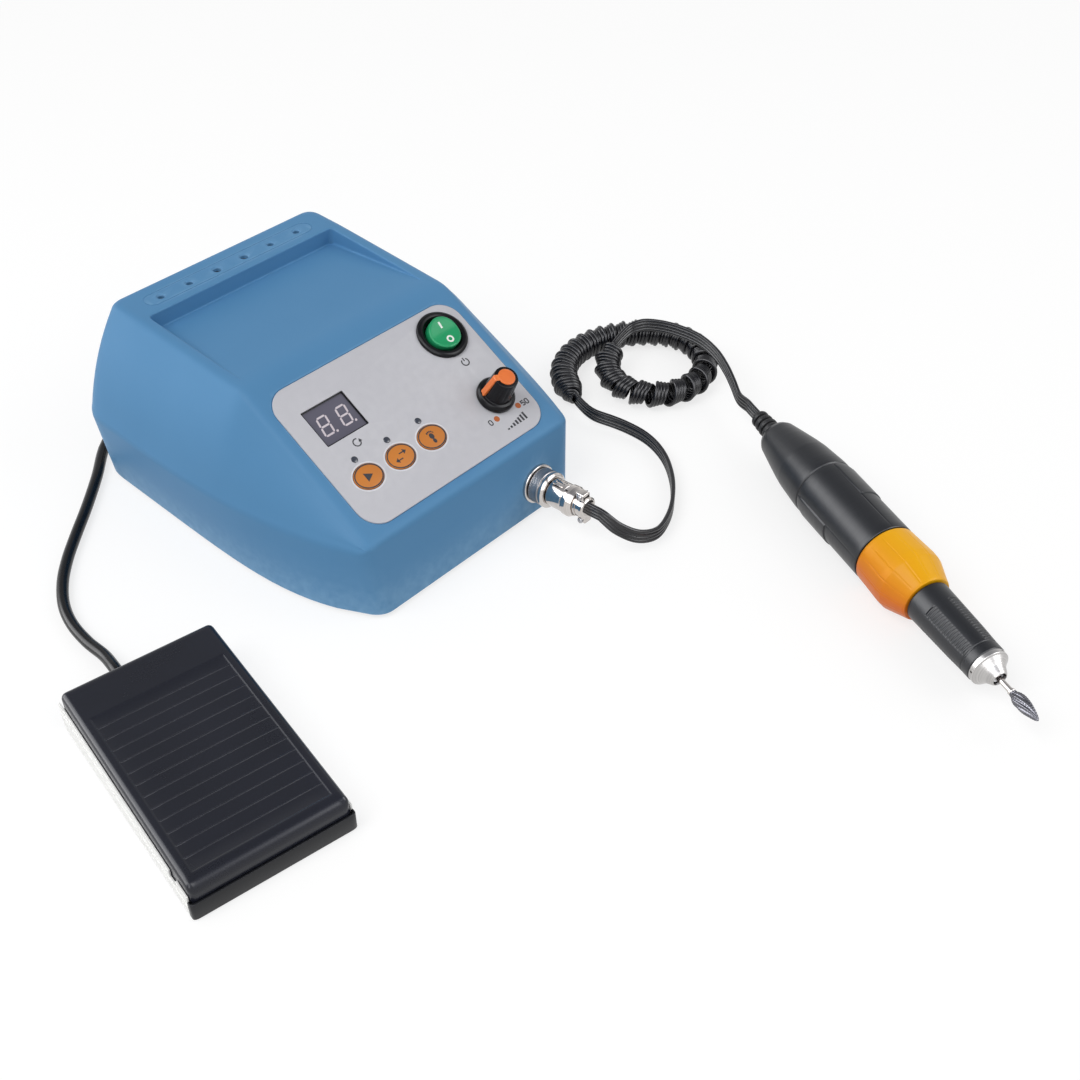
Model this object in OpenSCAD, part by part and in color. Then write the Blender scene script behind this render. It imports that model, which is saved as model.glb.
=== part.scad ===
// Bench micromotor set: a wedge-shaped control box, a straight motor handpiece on a
// curly flat cord and a foot pedal on a round cord. All sizes are in millimetres.
// The box faces -Y and stands on Z = 0.

/* [Control box] */
// Width of the shell across its widest crease
box_w = 160; // [154:1:168]
// Width of the shell at its foot
base_w = 152; // [148:1:158]
// Width across the top rims
rim_w = 112; // [110:1:116]
// Length of the top from the front edge to the rear edge
box_l = 163; // [158:1:170]
// Height of the front edge
front_h = 38; // [35:1:42]
// Slope of the front panel in degrees
panel_tilt = 28; // [26:0.5:30]
// Length of the sloping panel
panel_l = 82; // [80:1:86]
// Rise from the panel bend to the rear ledge
ledge_rise = 2.5; // [2:0.1:4]
// Depth of the rear ledge that carries the bur holes
ledge_l = 21.5; // [19:0.5:24]
// Width of the tool tray
tray_w = 101; // [92:1:103]
// Depth of the tool tray at its rear step
tray_d = 8; // [6:0.5:9]
// Wall of the shell
wall = 2.6; // [2.2:0.1:3]
// How far the rear wall stands out below the ledge
rear_flare = 2; // [1:0.5:4]
// How far the front wall leans out at its foot
front_lean = 3; // [1:0.5:4]
// Height of the rubber feet
foot_h = 2; // [1.5:0.5:3]
// Thickness of the base plate
plate_t = 2.5; // [2.2:0.1:3.2]
// Spacing of the bur holes
bur_pitch = 15; // [13:0.5:16]
// Length of a bur bush
bush_l = 18; // [14:1:22]

/* [Front panel] */
// Width of the panel sheet
sheet_w = 102; // [96:1:104]
// Length of the panel sheet down the slope
sheet_l = 70; // [69:0.5:72]
// Thickness of the panel sheet
sheet_t = 0.5; // [0.3:0.1:0.8]
// Corner radius of the panel sheet
sheet_r = 12; // [8:1:14]
// Width of the display window
disp_w = 22; // [20:1:24]
// Height of the display window
disp_h = 18; // [16:1:19]
// Length of an oval button
key_w = 13.4; // [12:0.2:14]
// Height of an oval button
key_h = 11; // [9:0.2:12]
// Spacing of the buttons
key_pitch = 17.4; // [17:0.2:18]
// Button travel
key_travel = 0.5; // [0.3:0.1:0.6]
// Diameter of an indicator lamp
led_d = 3; // [2.4:0.2:3.4]

/* [Power switch] */
// Diameter of the switch rim
bezel_d = 23; // [22:0.5:24]
// Diameter of the switch barrel
barrel_d = 20; // [19.5:0.5:21]
// Height of the switch rim above the sheet
bezel_h = 2; // [1.5:0.1:2.4]
// Diameter of the ball that the rocker is cut from
rocker_d = 15.8; // [15:0.1:16.4]
// Full swing of the rocker in degrees
rocker_swing = 14; // [10:1:16]

/* [Speed control] */
// Diameter of the knob skirt
skirt_d = 17; // [16.6:0.1:18]
// Diameter of the knob grip at its foot
grip_d = 12; // [11:0.5:13]
// Diameter of the knob grip at its top
grip_top_d = 10; // [9:0.5:10.5]
// Height of the knob
knob_h = 15; // [13:0.5:17]
// Diameter of the control shaft
pot_shaft_d = 6; // [5:0.5:6.4]
// Diameter of the control's threaded bush
pot_bush_d = 9; // [8:0.5:9.5]

/* [Socket and plug] */
// Diameter of the socket flange
flange_d = 18; // [17.4:0.2:19]
// Outer diameter of the socket barrel
socket_d = 12.8; // [12:0.2:13.4]
// Outer diameter of the coupling ring
coupling_d = 16; // [15.4:0.2:17]
// Outer diameter of the plug sleeve
plug_d = 12.6; // [12:0.2:13.4]
// Length of the plug sleeve
plug_l = 14; // [12:0.5:17]
// Length of the cord clamp
clamp_l = 5.5; // [5:0.5:7]

/* [Handpiece] */
// Diameter of the motor case
case_d = 28.4; // [27.6:0.2:29.2]
// Length of the rear cap
cap_l = 41; // [38:1:44]
// Length of the motor case
case_l = 45.5; // [44:0.5:50]
// Length of the chuck ring
ring_l = 29.3; // [27:0.1:32]
// Largest diameter of the chuck ring
ring_d = 30; // [29.4:0.2:31]
// Length of the nose sleeve
sleeve_l = 38.3; // [36:0.1:42]
// Diameter of the nose sleeve at the ring
sleeve_d = 19.2; // [18.4:0.2:20]
// Diameter of the nose sleeve at its tip
sleeve_tip_d = 17; // [16.4:0.2:18]
// Length of the nose cap
nose_l = 8; // [7:0.5:10]
// Diameter of the motor shaft
shaft_d = 4; // [3.4:0.2:4.4]
// Diameter of the armature
armature_d = 18.4; // [17:0.2:18.6]
// Diameter of the spindle
spindle_d = 7.9; // [7.4:0.1:8.2]
// Diameter of the bur shank
shank_d = 2.35; // [2.2:0.05:2.4]
// Largest diameter of the bur head
bur_d = 5.8; // [4:0.2:6.4]
// Length of the bur head
bur_l = 15; // [12:1:16]

/* [Foot pedal] */
// Width of the pedal
ped_w = 64; // [61:1:69]
// Length of the pedal
ped_l = 105; // [100:1:110]
// Height of the treadle at its front
ped_front_h = 16; // [15.5:0.5:18.5]
// Height of the treadle at its rear
ped_rear_h = 20; // [19.5:0.5:22]
// Thickness of the side rails
rail_t = 0.9; // [0.8:0.1:1.4]
// Diameter of the hinge pin
pin_d = 3; // [2.6:0.1:3.4]
// Number of cross ribs on the treadle
rib_n = 12; // [8:1:13]
// Swing of the treadle in degrees
ped_swing = 2.5; // [1.5:0.25:2.5]

/* [Cords] */
// Width of the flat cord
ribbon_w = 6.8; // [6.2:0.1:7]
// Thickness of the flat cord
ribbon_t = 1.9; // [1.6:0.1:2]
// Number of curls
curl_n = 30; // [24:1:30]
// Radius of the curls at the middle of the cord
curl_r = 4.9; // [4.4:0.1:5]
// How far each curl leans over the next, in degrees
curl_tilt = 36; // [34:1:38]
// Diameter of the pedal cord
cord_d = 5; // [4.6:0.1:5.2]
// Thickness of the coil tie
tie_t = 1.2; // [1:0.1:1.4]

/* [Fits] */
// Running gap of a turning fit, on the radius
run_gap = 0.05; // [0.03:0.01:0.08]
// Gap beside a part that moves freely
free_gap = 0.4; // [0.35:0.05:0.5]
// Side gap of the base plate in the shell
plate_gap = 0.6; // [0.4:0.1:1]

/* [Hidden] */
$fn = 48;

// Where the box origin stands in the part's frame
shift = [24.8, 103.4, 0];
blue = [0.37, 0.57, 0.73];
black = [0.09, 0.09, 0.1];
grey = [0.72, 0.72, 0.75];
steel = [0.75, 0.75, 0.77];
orange = [0.95, 0.5, 0.12];
green = [0.12, 0.6, 0.35];

// Box lines
box_back = 2;
front_y = box_back - box_l / 2;
rear_y = box_back + box_l / 2;
bend_y = front_y + panel_l * cos(panel_tilt);
bend_z = front_h + panel_l * sin(panel_tilt);
ledge_y = rear_y - ledge_l;
ledge_h = bend_z + ledge_rise;
crease_z = front_h - 2;
crease_bow = 21;
base_bow = 19;
bow_y = 60;
edge_r = 1;
tray_run = 7;
tray_r = 2.5;
run_y = bend_y + tray_run;
tray_z = ledge_h - tray_d;
roof_top = tray_z - wall;
skin = wall / cos(panel_tilt);
roof_y = bend_y - (bend_z - skin - roof_top) / tan(panel_tilt);
plate_z = foot_h + plate_t;
rear_wall_y = rear_y + rear_flare;
corner_rear = [16, 16, 6];
corner_front = [5, 6, 4];
near_front = 14;
boss_r = 4.5;
pilot_r = 1.5;
pilot_l = 10;
boss_x = 46;
boss_in = 28;
boss_y = [rear_y - boss_in, front_y + 13];
boss_at = [for (y = boss_y) for (x = [boss_x, -boss_x]) [x, y]];
foot_at = [[58, rear_y - boss_in], [-58, rear_y - boss_in], [50, front_y + 40], [-50, front_y + 40]];
foot_r = 7;
foot_taper = 0.6;
head_r = 2.8;
head_l = 1.4;
bur_in = 12.5;
bur_y = rear_y - bur_in;
bush_r = 3.4;
bush_bores = [1.3, 1.3, 1.6, 1.6, 1.3, 1.3];
bush_floor = 3;
bush_skin = 2;
bush_lead = 0.2;
bush_top = ledge_h - bush_skin;

// Inside of the box
trans_in = 49.5;
trans_at = [8, rear_y - trans_in];
core = [56, 30, 46];
winding = [36, 46, 32];
winding_z = 7;
strap = [68, 20, 2];
main_at = [16 - base_w / 2, front_y + 39.5];
main_size = [33, 86, 1.6];
stand_h = 8;
stand_r = 2.5;
stand_in = 4;
can_r = 6;
can_h = 19;
can_at = [[10, 20], [10, 36]];
sink = [8, 24, 15];
sink_at = [22, 50];

// Panel features: x across and distance down the slope from the bend
sheet_s = 7;
switch_at = [36, 21];
knob_at = [36, 56.5];
disp_at = [-31, 29];
key_s = 57;
led_s = 48;
key_x0 = -19;
key_xs = [key_x0 - key_pitch, key_x0, key_x0 + key_pitch];
board_h = -14;
board_t = 1.6;
board_x = [-48, 12];
board_s = [14, 68];
post_r = 3;
post_in = 4;
post_x = [board_x[0] + post_in, board_x[1] - post_in];
post_s = [board_s[0] + post_in, board_s[1] - post_in];
post_at = [for (x = post_x) for (d = post_s) [x, d]];
key_proud = 0.4;
key_flange = 1.2;
key_stem_r = 1.6;
tact_w = 6;
tact_h = 3.5;
stem_in = 1.8;
rocker_r = rocker_d / 2;
pivot_h = -1;
rocker_up = 4;
rocker_down = 3.5;
pocket_down = 5.2;
trunnion_r = 1.2;
trunnion_l = 1.4;
switch_depth = 16;
pot_depth = 9;
pot_r = 8;
nut_h = 2;
nut_r = pot_bush_d / 2 + 2;
skirt_h = 3.2;
skirt_gap = 0.4;
knob_foot = sheet_t + skirt_gap;
knob_room = sheet_t + nut_h + 0.6;
pointer_w = 2;
pointer_turn = 155;
cap_t = 1;
cap_d = grip_top_d - 1;

// Front socket frame
sock_x = 36.5;
sock_z = 16;
front_tilt = atan(front_lean / (crease_z - foot_h));
sock_y = front_y - front_lean * (crease_z - sock_z) / (crease_z - foot_h);
flange_t = 1.6;
socket_out = 7.5;
socket_in = 8;
socket_r = socket_d / 2;
socket_wall = 1.2;
cup_r = socket_r - socket_wall;
cup_floor = 2.5;
nut_t = 3;
nut_seat = wall * 1.12;
nose_r = cup_r - 0.2;
coupling_end = 10;
coupling_lip = 1.8;
sleeve_start = coupling_end + free_gap;
sleeve_end = sleeve_start + plug_l;
clamp_end = sleeve_end + clamp_l;
clamp_r = 4.6;
ear_w = 4.4;
ear_l = 2.6;
ear_in = 0.8;
clamp_screw_r = 0.7;
clamp_head_r = 1.2;
clamp_head_l = 1.2;
screw_y = clamp_r + clamp_head_r + 0.2;

// Rear glands
inlet_x = 2;
inlet_z = 14;
mains_x = -45;
mains_z = 20;
gland_r = 5;
gland_flange_r = 7;
gland_flange_t = 2;
inlet_l = 15;
mains_l = 12;
mains_bore_r = 3.5;
inlet_tip_r = cord_d / 2 + 0.7;

// Handpiece lies on its chuck ring; stations run from the tail along its axis
hand_at = [135.2, -136.6];
hand_turn = -113;
hand_z = ring_d / 2;
cap_wall = 1.8;
tail_r = 6.2;
relief_l = 15;
relief_r = 5;
cap_end = cap_l;
case_end = cap_end + case_l;
ring_start = case_end + 0.3;
ring_end = ring_start + ring_l;
sleeve0 = ring_end + 0.3;
sleeve1 = sleeve0 + sleeve_l;
nose_end = sleeve1 + nose_l;
case_r = case_d / 2;
case_wall = 2;
bore_r = case_r - case_wall;
front_wall = 4;
spigot_l = 3;
holder_z = cap_end + spigot_l + 0.5;
holder_t = 3;
guide_h = 7;
bearing_r = 5;
bearing_t = 3;
shaft_r = shaft_d / 2;
commutator_r = 4.5;
commutator_z = holder_z + holder_t + 1;
commutator_l = 6;
brush_w = 3;
magnet_l = 26;
magnet_z = case_end - front_wall - 1.5 - magnet_l;
air_gap = 0.5;
armature_r = armature_d / 2;
coupling_r = 4.2;
coupling_z = case_end + 1;
coupling_l = 9;
housing_r = 7.4;
housing_wall = 1.2;
housing_in = housing_r - housing_wall;
flange_h = 2.5;
housing_flange_r = 10;
spindle_r = spindle_d / 2;
spindle_z = case_end + 11.5;
spindle_end = sleeve1 + 1.5;
bearing2_t = 5;
bearing2_z = [spindle_z + 2, sleeve1 - 8.5];
collet_r = 2.35;
collet_z = sleeve1 - 16;
collet_end = nose_end - 1;
shank_r = shank_d / 2;
ring_room_r = 11.6;
ring_bore_l = 12;
flute_d = 0.7;
flute_w = 1.2;
groove_n = 14;
groove_pitch = 2;
groove_d = 0.35;
nose_tip_r = 3.3;
nose_bore_r = 2.9;
head_z = nose_end + 7.5;

// Foot pedal
ped_at = [-153.8, -95];
ped_turn = -10;
ped_foot_h = 1.5;
floor_t = 1.2;
floor_z = ped_foot_h + floor_t;
wall_t = 1.6;
lip_t = 2.6;
lip_r = 2.4;
base_front_h = 8.5;
base_rear_h = 11;
tray_in = ped_w - 2 * rail_t;
cover_w = tray_in - 2 * free_gap;
cover_y0 = -ped_l / 2 + lip_t + free_gap;
cover_y1 = ped_l / 2 - wall_t - 2 * free_gap;
cover_wall = 2.2;
cover_front_z = 7.2;
cover_rear_z = 9.9;
cover_r = 2.6;
cover_front_r = 5;
cover_slope = (ped_rear_h - ped_front_h) / (cover_y1 - cover_y0);
hinge_y = ped_l / 2 - 8;
hinge_z = 11.5;
pin_r = pin_d / 2;
lug_t = 4;
lug_x = 18;
lug_r = 3.4;
knuckle_x = lug_x + lug_t + free_gap;
spring_y = -25;
spring_r = 5;
spring_top = 12;
spring_seat_r = 6;
pusher_r = 3;
sunk = 1;
switch_y = 10;
gland_x = -5.5;
gland_z = 6;
ped_gland_l = 7;
ped_gland_r = 3.8;
ped_neck_r = 2.8;
ped_collar_r = 3.2;
ped_collar_t = 1.5;
tread_w = 54;
tread_y0 = cover_y0 + 4;
tread_y1 = cover_y1 - 17.5;
tread_d = 0.5;
rib_w = 0.9;
rib_h = 0.5;

// Coil of the unseen rest of the pedal cord, behind the box
coil_r = 36;
coil_at = [inlet_x + coil_r, 126];
coil_step = 5.6;
coil_turns = 5.75;
coil_rings = 138;
coil_z = tie_t + cord_d / 2 + 0.4;
tie_w = 10;
tie_angle = 0;

module stand() {
  translate(shift) children();
}

module at_panel(p, h) {
  translate([0, bend_y, bend_z]) rotate([panel_tilt, 0, 0]) translate([p[0], -p[1], h]) children();
}

module at_socket(h) {
  translate([sock_x, sock_y, sock_z]) rotate([90 - front_tilt, 0, 0]) translate([0, 0, h]) children();
}

module at_rear(x, z) {
  translate([x, rear_wall_y, z]) rotate([-90, 0, 0]) children();
}

module at_hand(h) {
  translate([hand_at[0], hand_at[1], hand_z]) rotate([0, 0, hand_turn]) rotate([0, 90, 0])
    translate([0, 0, h]) children();
}

module at_pedal() {
  translate([ped_at[0], ped_at[1], 0]) rotate([0, 0, ped_turn]) children();
}

module lathe(p) {
  rotate_extrude() polygon(p);
}

module tube(r1, r2, h) {
  difference() {
    cylinder(r = r1, h = h);
    translate([0, 0, -1]) cylinder(r = r2, h = h + 2);
  }
}

function oval(w, h) = [for (i = [0:31]) [w / 2 * cos(i * 11.25), h / 2 * sin(i * 11.25)]];
function rounded(w, l, r) = [for (q = [0:3]) for (i = [0:5])
  let (a = q * 90 + i * 18)
  [(q == 0 || q == 3 ? 1 : -1) * (w / 2 - r) + r * cos(a), (q < 2 ? 1 : -1) * (l / 2 - r) + r * sin(a)]];

// Shell outlines: kind 0 is the foot, 1 the crease, 2 the rim
function rim_z(y) = y <= bend_y ? front_h + (y - front_y) * tan(panel_tilt)
  : y >= ledge_y ? ledge_h
  : bend_z + ledge_rise * (y - bend_y) / (ledge_y - bend_y);
function roof_z(y) = min(roof_top, front_h + (y - front_y) * tan(panel_tilt) - skin);
function bow_t(y) = max(0, (bow_y - y) / (bow_y - front_y));
function half_at(k, y) = k == 0 ? base_w / 2 - base_bow * pow(bow_t(y), 5)
  : k == 1 ? box_w / 2 - crease_bow * pow(bow_t(y), 3)
  : rim_w / 2;
function rear_at(k) = k == 2 ? rear_y : rear_wall_y;
function front_at(k) = k == 0 ? front_y - front_lean : front_y;
function bend3(a, p, b, t) = (1 - t) * (1 - t) * a + 2 * t * (1 - t) * p + t * t * b;
function half_line(k, inset, ys) = let (
    h1 = half_at(k, rear_at(k)) - inset,
    y1 = rear_at(k) - inset,
    r1 = corner_rear[k],
    y0 = front_at(k) + inset,
    r0 = corner_front[k],
    ha = half_at(k, y0 + r0) - inset,
    px = ha - r0 * (half_at(k, y0 + r0 + 1) - half_at(k, y0 + r0)))
  concat([for (i = [0:5]) bend3([h1 - r1, y1], [h1, y1], [h1, y1 - r1], i / 5)],
    [for (y = ys) [half_at(k, y) - inset, y]],
    [for (i = [0:4]) bend3([ha, y0 + r0], [px, y0], [px - r0, y0], i / 4)]);
function both_sides(p) = let (n = len(p))
  concat(p, [for (i = [0:n - 1]) [-p[n - 1 - i][0], p[n - 1 - i][1]]]);
function stations(kink) = let (f = front_y + near_front) concat(
  [for (i = [0:3]) ledge_y + (kink - ledge_y) * i / 4],
  [for (i = [0:5]) kink + (f - kink) * i / 5]);
outer_ys = stations(bend_y);
inner_ys = stations(roof_y);
function flat_ring(k, inset, ys, z) =
  [for (p = both_sides(half_line(k, inset, ys))) [p[0], p[1], z]];
function rim_ring(inset, ys, drop) =
  [for (p = both_sides(half_line(2, inset, ys))) [p[0], p[1], rim_z(p[1]) - drop]];
function roof_ring(inset, ys) =
  [for (p = both_sides(half_line(2, inset, ys))) [p[0], p[1], roof_z(p[1])]];

module stack(rings) {
  n = len(rings[0]);
  m = len(rings);
  top = (m - 1) * n;
  polyhedron(points = [for (r = rings) for (p = r) p], convexity = 6, faces = concat(
    [for (k = [0:m - 2]) for (i = [0:n - 1]) each let (j = (i + 1) % n)
      [[k * n + i, k * n + j, k * n + n + j], [k * n + i, k * n + n + j, k * n + n + i]]],
    [for (i = [0:n / 2 - 2]) each let (a = top + i, b = top + n - 1 - i)
      [[a, a + 1, b - 1], [a, b - 1, b]]],
    [for (i = [0:n / 2 - 2]) each let (b = n - 1 - i) [[b - 1, i + 1, i], [b, b - 1, i]]]));
}

module tray_cut() {
  intersection() {
    translate([-tray_w / 2, 0, 0]) rotate([90, 0, 90]) linear_extrude(tray_w)
      polygon([[ledge_y, tray_z], [run_y, rim_z(run_y)], [run_y, ledge_h + 5], [ledge_y, ledge_h + 5]]);
    translate([0, (ledge_y + run_y) / 2 - tray_r, tray_z - 1]) linear_extrude(tray_d + 5)
      polygon(rounded(tray_w, ledge_y - run_y + 2 * tray_r, tray_r));
  }
}

module key_hole(w, h, up, down) {
  translate([0, 0, -down]) linear_extrude(up + down) polygon(oval(w, h));
}

module top_shell() {
  color(blue) stand() difference() {
    union() {
      difference() {
        stack([flat_ring(0, 0, outer_ys, foot_h), flat_ring(1, 0, outer_ys, crease_z),
          rim_ring(0, outer_ys, edge_r), rim_ring(edge_r, outer_ys, 0)]);
        stack([flat_ring(0, wall, inner_ys, foot_h - 1), flat_ring(1, wall, inner_ys, crease_z - 4),
          roof_ring(wall, inner_ys)]);
        tray_cut();
      }
      for (b = boss_at)
        translate([b[0], b[1], plate_z])
          cylinder(r = boss_r, h = roof_z(b[1] - boss_r) + wall * 0.7 - plate_z);
      for (p = post_at)
        at_panel(p, board_h) cylinder(r = post_r, h = -board_h - wall / 2);
    }
    for (b = boss_at)
      translate([b[0], b[1], plate_z - 1]) cylinder(r = pilot_r, h = pilot_l + 1);
    for (i = [0:5]) translate([(i - 2.5) * bur_pitch, bur_y, 0]) {
      translate([0, 0, roof_top - 5]) cylinder(r = bush_r, h = bush_top - roof_top + 5);
      translate([0, 0, bush_top - 1]) cylinder(r = bush_bores[i] + bush_lead, h = bush_skin + 2);
    }
    at_panel(switch_at, -10) cylinder(d = barrel_d, h = 20);
    at_panel(knob_at, -10) cylinder(d = pot_bush_d, h = 20);
    at_panel(disp_at, 0) cube([disp_w, disp_h, 20], center = true);
    for (x = key_xs)
      at_panel([x, key_s], 0) key_hole(key_w + 2 * free_gap, key_h + 2 * free_gap, 5, 5);
    for (x = key_xs)
      at_panel([x, led_s], -5) cylinder(d = led_d, h = 10);
    at_socket(-10) cylinder(d = socket_d, h = 20);
    at_rear(inlet_x, inlet_z) translate([0, 0, -10]) cylinder(r = gland_r, h = 20);
    at_rear(mains_x, mains_z) translate([0, 0, -10]) cylinder(r = gland_r, h = 20);
  }
}

module base_plate() {
  color(black) stand() difference() {
    translate([0, 0, foot_h]) linear_extrude(plate_t)
      polygon(both_sides(half_line(0, wall + plate_gap, inner_ys)));
    for (b = boss_at) {
      translate([b[0], b[1], foot_h - 1]) cylinder(r = pilot_r, h = plate_t + 2);
      translate([b[0], b[1], foot_h - 1]) cylinder(r = head_r, h = head_l + 1);
    }
    for (f = foot_at)
      translate([f[0], f[1], foot_h - 1]) cylinder(r = foot_r / 3, h = plate_t + 2);
  }
}

module rubber_feet() {
  color(black) stand() for (f = foot_at) translate([f[0], f[1], 0]) {
    cylinder(r1 = foot_r - foot_taper, r2 = foot_r, h = foot_h);
    cylinder(r = foot_r / 3, h = plate_z);
  }
}

module base_screws() {
  color(steel) stand() for (b = boss_at) translate([b[0], b[1], foot_h]) {
    cylinder(r = head_r, h = head_l);
    cylinder(r = pilot_r, h = plate_t + pilot_l - 2);
  }
}

module bur_bushes() {
  color(steel) stand() for (i = [0:5]) translate([(i - 2.5) * bur_pitch, bur_y, bush_top - bush_l])
    difference() {
      cylinder(r = bush_r, h = bush_l);
      translate([0, 0, bush_floor]) cylinder(r = bush_bores[i], h = bush_l);
    }
}

module panel_sheet() {
  color(grey) stand() difference() {
    at_panel([0, sheet_s + sheet_l / 2], 0) linear_extrude(sheet_t)
      polygon(rounded(sheet_w, sheet_l, sheet_r));
    at_panel(switch_at, -1) cylinder(d = barrel_d, h = 4);
    at_panel(knob_at, -1) cylinder(d = pot_bush_d, h = 4);
    at_panel(disp_at, 0) cube([disp_w, disp_h, 4], center = true);
    for (x = key_xs)
      at_panel([x, key_s], 0) key_hole(key_w + 2 * free_gap, key_h + 2 * free_gap, 2, 2);
    for (x = key_xs)
      at_panel([x, led_s], -1) cylinder(d = led_d, h = 4);
  }
}

module display_block() {
  color([0.4, 0.38, 0.45]) stand() at_panel(disp_at, board_h) translate([-disp_w / 2, -disp_h / 2, 0])
    cube([disp_w, disp_h, sheet_t - board_h - 0.2]);
}

module indicator_lamps() {
  color([0.25, 0.27, 0.33]) stand() for (x = key_xs) at_panel([x, led_s], board_h) {
    cylinder(d = led_d, h = sheet_t - board_h);
    translate([0, 0, sheet_t - board_h]) cylinder(d1 = led_d, d2 = led_d * 0.6, h = 0.4);
  }
}

module panel_board() {
  color([0.1, 0.35, 0.2]) stand() at_panel([board_x[0], board_s[1]], board_h - board_t)
    cube([board_x[1] - board_x[0], board_s[1] - board_s[0], board_t]);
}

module key_switches() {
  color(black) stand() for (x = key_xs) at_panel([x, key_s], board_h) difference() {
    translate([-tact_w / 2, -tact_w / 2, 0]) cube([tact_w, tact_w, tact_h]);
    translate([0, 0, tact_h - stem_in - key_travel - 0.5])
      cylinder(r = key_stem_r + free_gap, h = tact_h);
  }
}

module key_button(x) {
  stem = board_h + tact_h - stem_in;
  color(orange) stand() at_panel([x, key_s], 0) {
    key_hole(key_w, key_h, sheet_t + key_proud, wall + 0.2);
    translate([0, 0, -wall - 0.1 - key_flange]) linear_extrude(key_flange)
      polygon(oval(key_w + 2.4, key_h + 2.4));
    translate([0, 0, stem]) cylinder(r = key_stem_r, h = -wall - 1 - stem);
  }
}

module start_button() {
  key_button(key_xs[0]);
}

module direction_button() {
  key_button(key_xs[1]);
}

module mode_button() {
  key_button(key_xs[2]);
}

module switch_body() {
  color(black) stand() at_panel(switch_at, 0) difference() {
    union() {
      translate([0, 0, sheet_t]) cylinder(d1 = bezel_d, d2 = bezel_d - 1.2, h = bezel_h);
      translate([0, 0, -switch_depth]) cylinder(d = barrel_d, h = switch_depth + sheet_t);
      for (x = [-5, 0, 5])
        translate([x - 0.4, -2.4, -switch_depth - 7]) cube([0.8, 4.8, 8]);
    }
    translate([0, 0, pivot_h - pocket_down]) cylinder(r = rocker_r + free_gap, h = 20);
    translate([-rocker_r - trunnion_l - 0.3, 0, pivot_h]) rotate([0, 90, 0])
      cylinder(r = trunnion_r + run_gap, h = 2 * (rocker_r + trunnion_l + 0.3));
  }
}

module power_rocker() {
  reach = rocker_r + trunnion_l;
  color(green) stand() at_panel(switch_at, pivot_h) rotate([rocker_swing / 2, 0, 0]) {
    intersection() {
      sphere(r = rocker_r);
      translate([-rocker_r, -rocker_r, -rocker_down])
        cube([2 * rocker_r, 2 * rocker_r, rocker_down + rocker_up]);
    }
    translate([-reach, 0, 0]) rotate([0, 90, 0]) cylinder(r = trunnion_r, h = 2 * reach);
  }
}

module speed_pot() {
  color(steel) stand() at_panel(knob_at, 0) difference() {
    union() {
      translate([0, 0, -wall - pot_depth]) cylinder(r = pot_r, h = pot_depth);
      translate([0, 0, -wall - 1]) cylinder(d = pot_bush_d, h = wall + 1 + sheet_t + nut_h);
      translate([0, 0, sheet_t]) cylinder(r = nut_r, h = nut_h, $fn = 6);
    }
    translate([0, 0, -wall - pot_depth + 1]) cylinder(d = pot_shaft_d + 2 * run_gap, h = 30);
  }
}

module pot_shaft() {
  color(steel) stand() at_panel(knob_at, -wall - pot_depth + 1.4)
    cylinder(d = pot_shaft_d, h = wall + pot_depth - 1.4 + knob_foot + knob_h - 3);
}

module speed_knob() {
  top = knob_foot + knob_h;
  color(black) stand() at_panel(knob_at, 0) difference() {
    union() {
      translate([0, 0, knob_foot]) cylinder(d1 = skirt_d, d2 = skirt_d - 1, h = skirt_h);
      translate([0, 0, knob_foot + 1]) cylinder(d1 = grip_d, d2 = grip_top_d, h = knob_h - 1);
    }
    translate([0, 0, -1]) cylinder(r = nut_r + free_gap, h = knob_room + 1);
    translate([0, 0, -1]) cylinder(d = pot_shaft_d, h = knob_foot + knob_h - 3 + 1);
    rotate([0, 0, pointer_turn]) translate([grip_top_d / 2 - 1.2, -pointer_w / 2, knob_foot + skirt_h])
      cube([grip_d, pointer_w, top]);
  }
}

module knob_pointer() {
  top = knob_foot + knob_h;
  color(orange) stand() at_panel(knob_at, 0) {
    translate([0, 0, top]) cylinder(d1 = cap_d, d2 = cap_d - 0.8, h = cap_t);
    rotate([0, 0, pointer_turn]) translate([0, pointer_w / 2, 0]) rotate([90, 0, 0])
      linear_extrude(pointer_w) polygon([[grip_top_d / 2 - 1.2, knob_foot + skirt_h],
        [grip_d / 2 + 1.4, knob_foot + skirt_h], [grip_top_d / 2 + 0.5, top + cap_t / 2],
        [grip_top_d / 2 - 1.2, top + cap_t / 2]]);
  }
}

module transformer() {
  color([0.45, 0.42, 0.4]) stand() translate([trans_at[0], trans_at[1], plate_z]) {
    translate([-core[0] / 2, -core[1] / 2, 0]) cube(core);
    translate([-winding[0] / 2, -winding[1] / 2, winding_z]) cube(winding);
    translate([-strap[0] / 2, -strap[1] / 2, 0]) cube(strap);
  }
}

module main_board() {
  face = stand_h + main_size[2] / 2;
  color([0.1, 0.35, 0.2]) stand() translate([main_at[0], main_at[1], plate_z]) {
    translate([0, 0, stand_h]) cube(main_size);
    for (x = [stand_in, main_size[0] - stand_in]) for (y = [stand_in, main_size[1] - stand_in])
      translate([x, y, 0]) cylinder(r = stand_r, h = stand_h);
    for (c = can_at)
      translate([c[0], c[1], face]) cylinder(r = can_r, h = can_h);
    translate([sink_at[0], sink_at[1], face]) cube(sink);
  }
}

module front_socket() {
  color(steel) stand() at_socket(0) {
    difference() {
      union() {
        cylinder(d = flange_d, h = flange_t);
        translate([0, 0, -wall - socket_in]) cylinder(r = socket_r, h = wall + socket_in + socket_out);
      }
      translate([0, 0, cup_floor]) cylinder(r = cup_r, h = 20);
    }
    for (a = [30, 150, 270])
      rotate([0, 0, a]) translate([2.6, 0, cup_floor - 0.5]) cylinder(r = 0.5, h = 3.5);
  }
}

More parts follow.
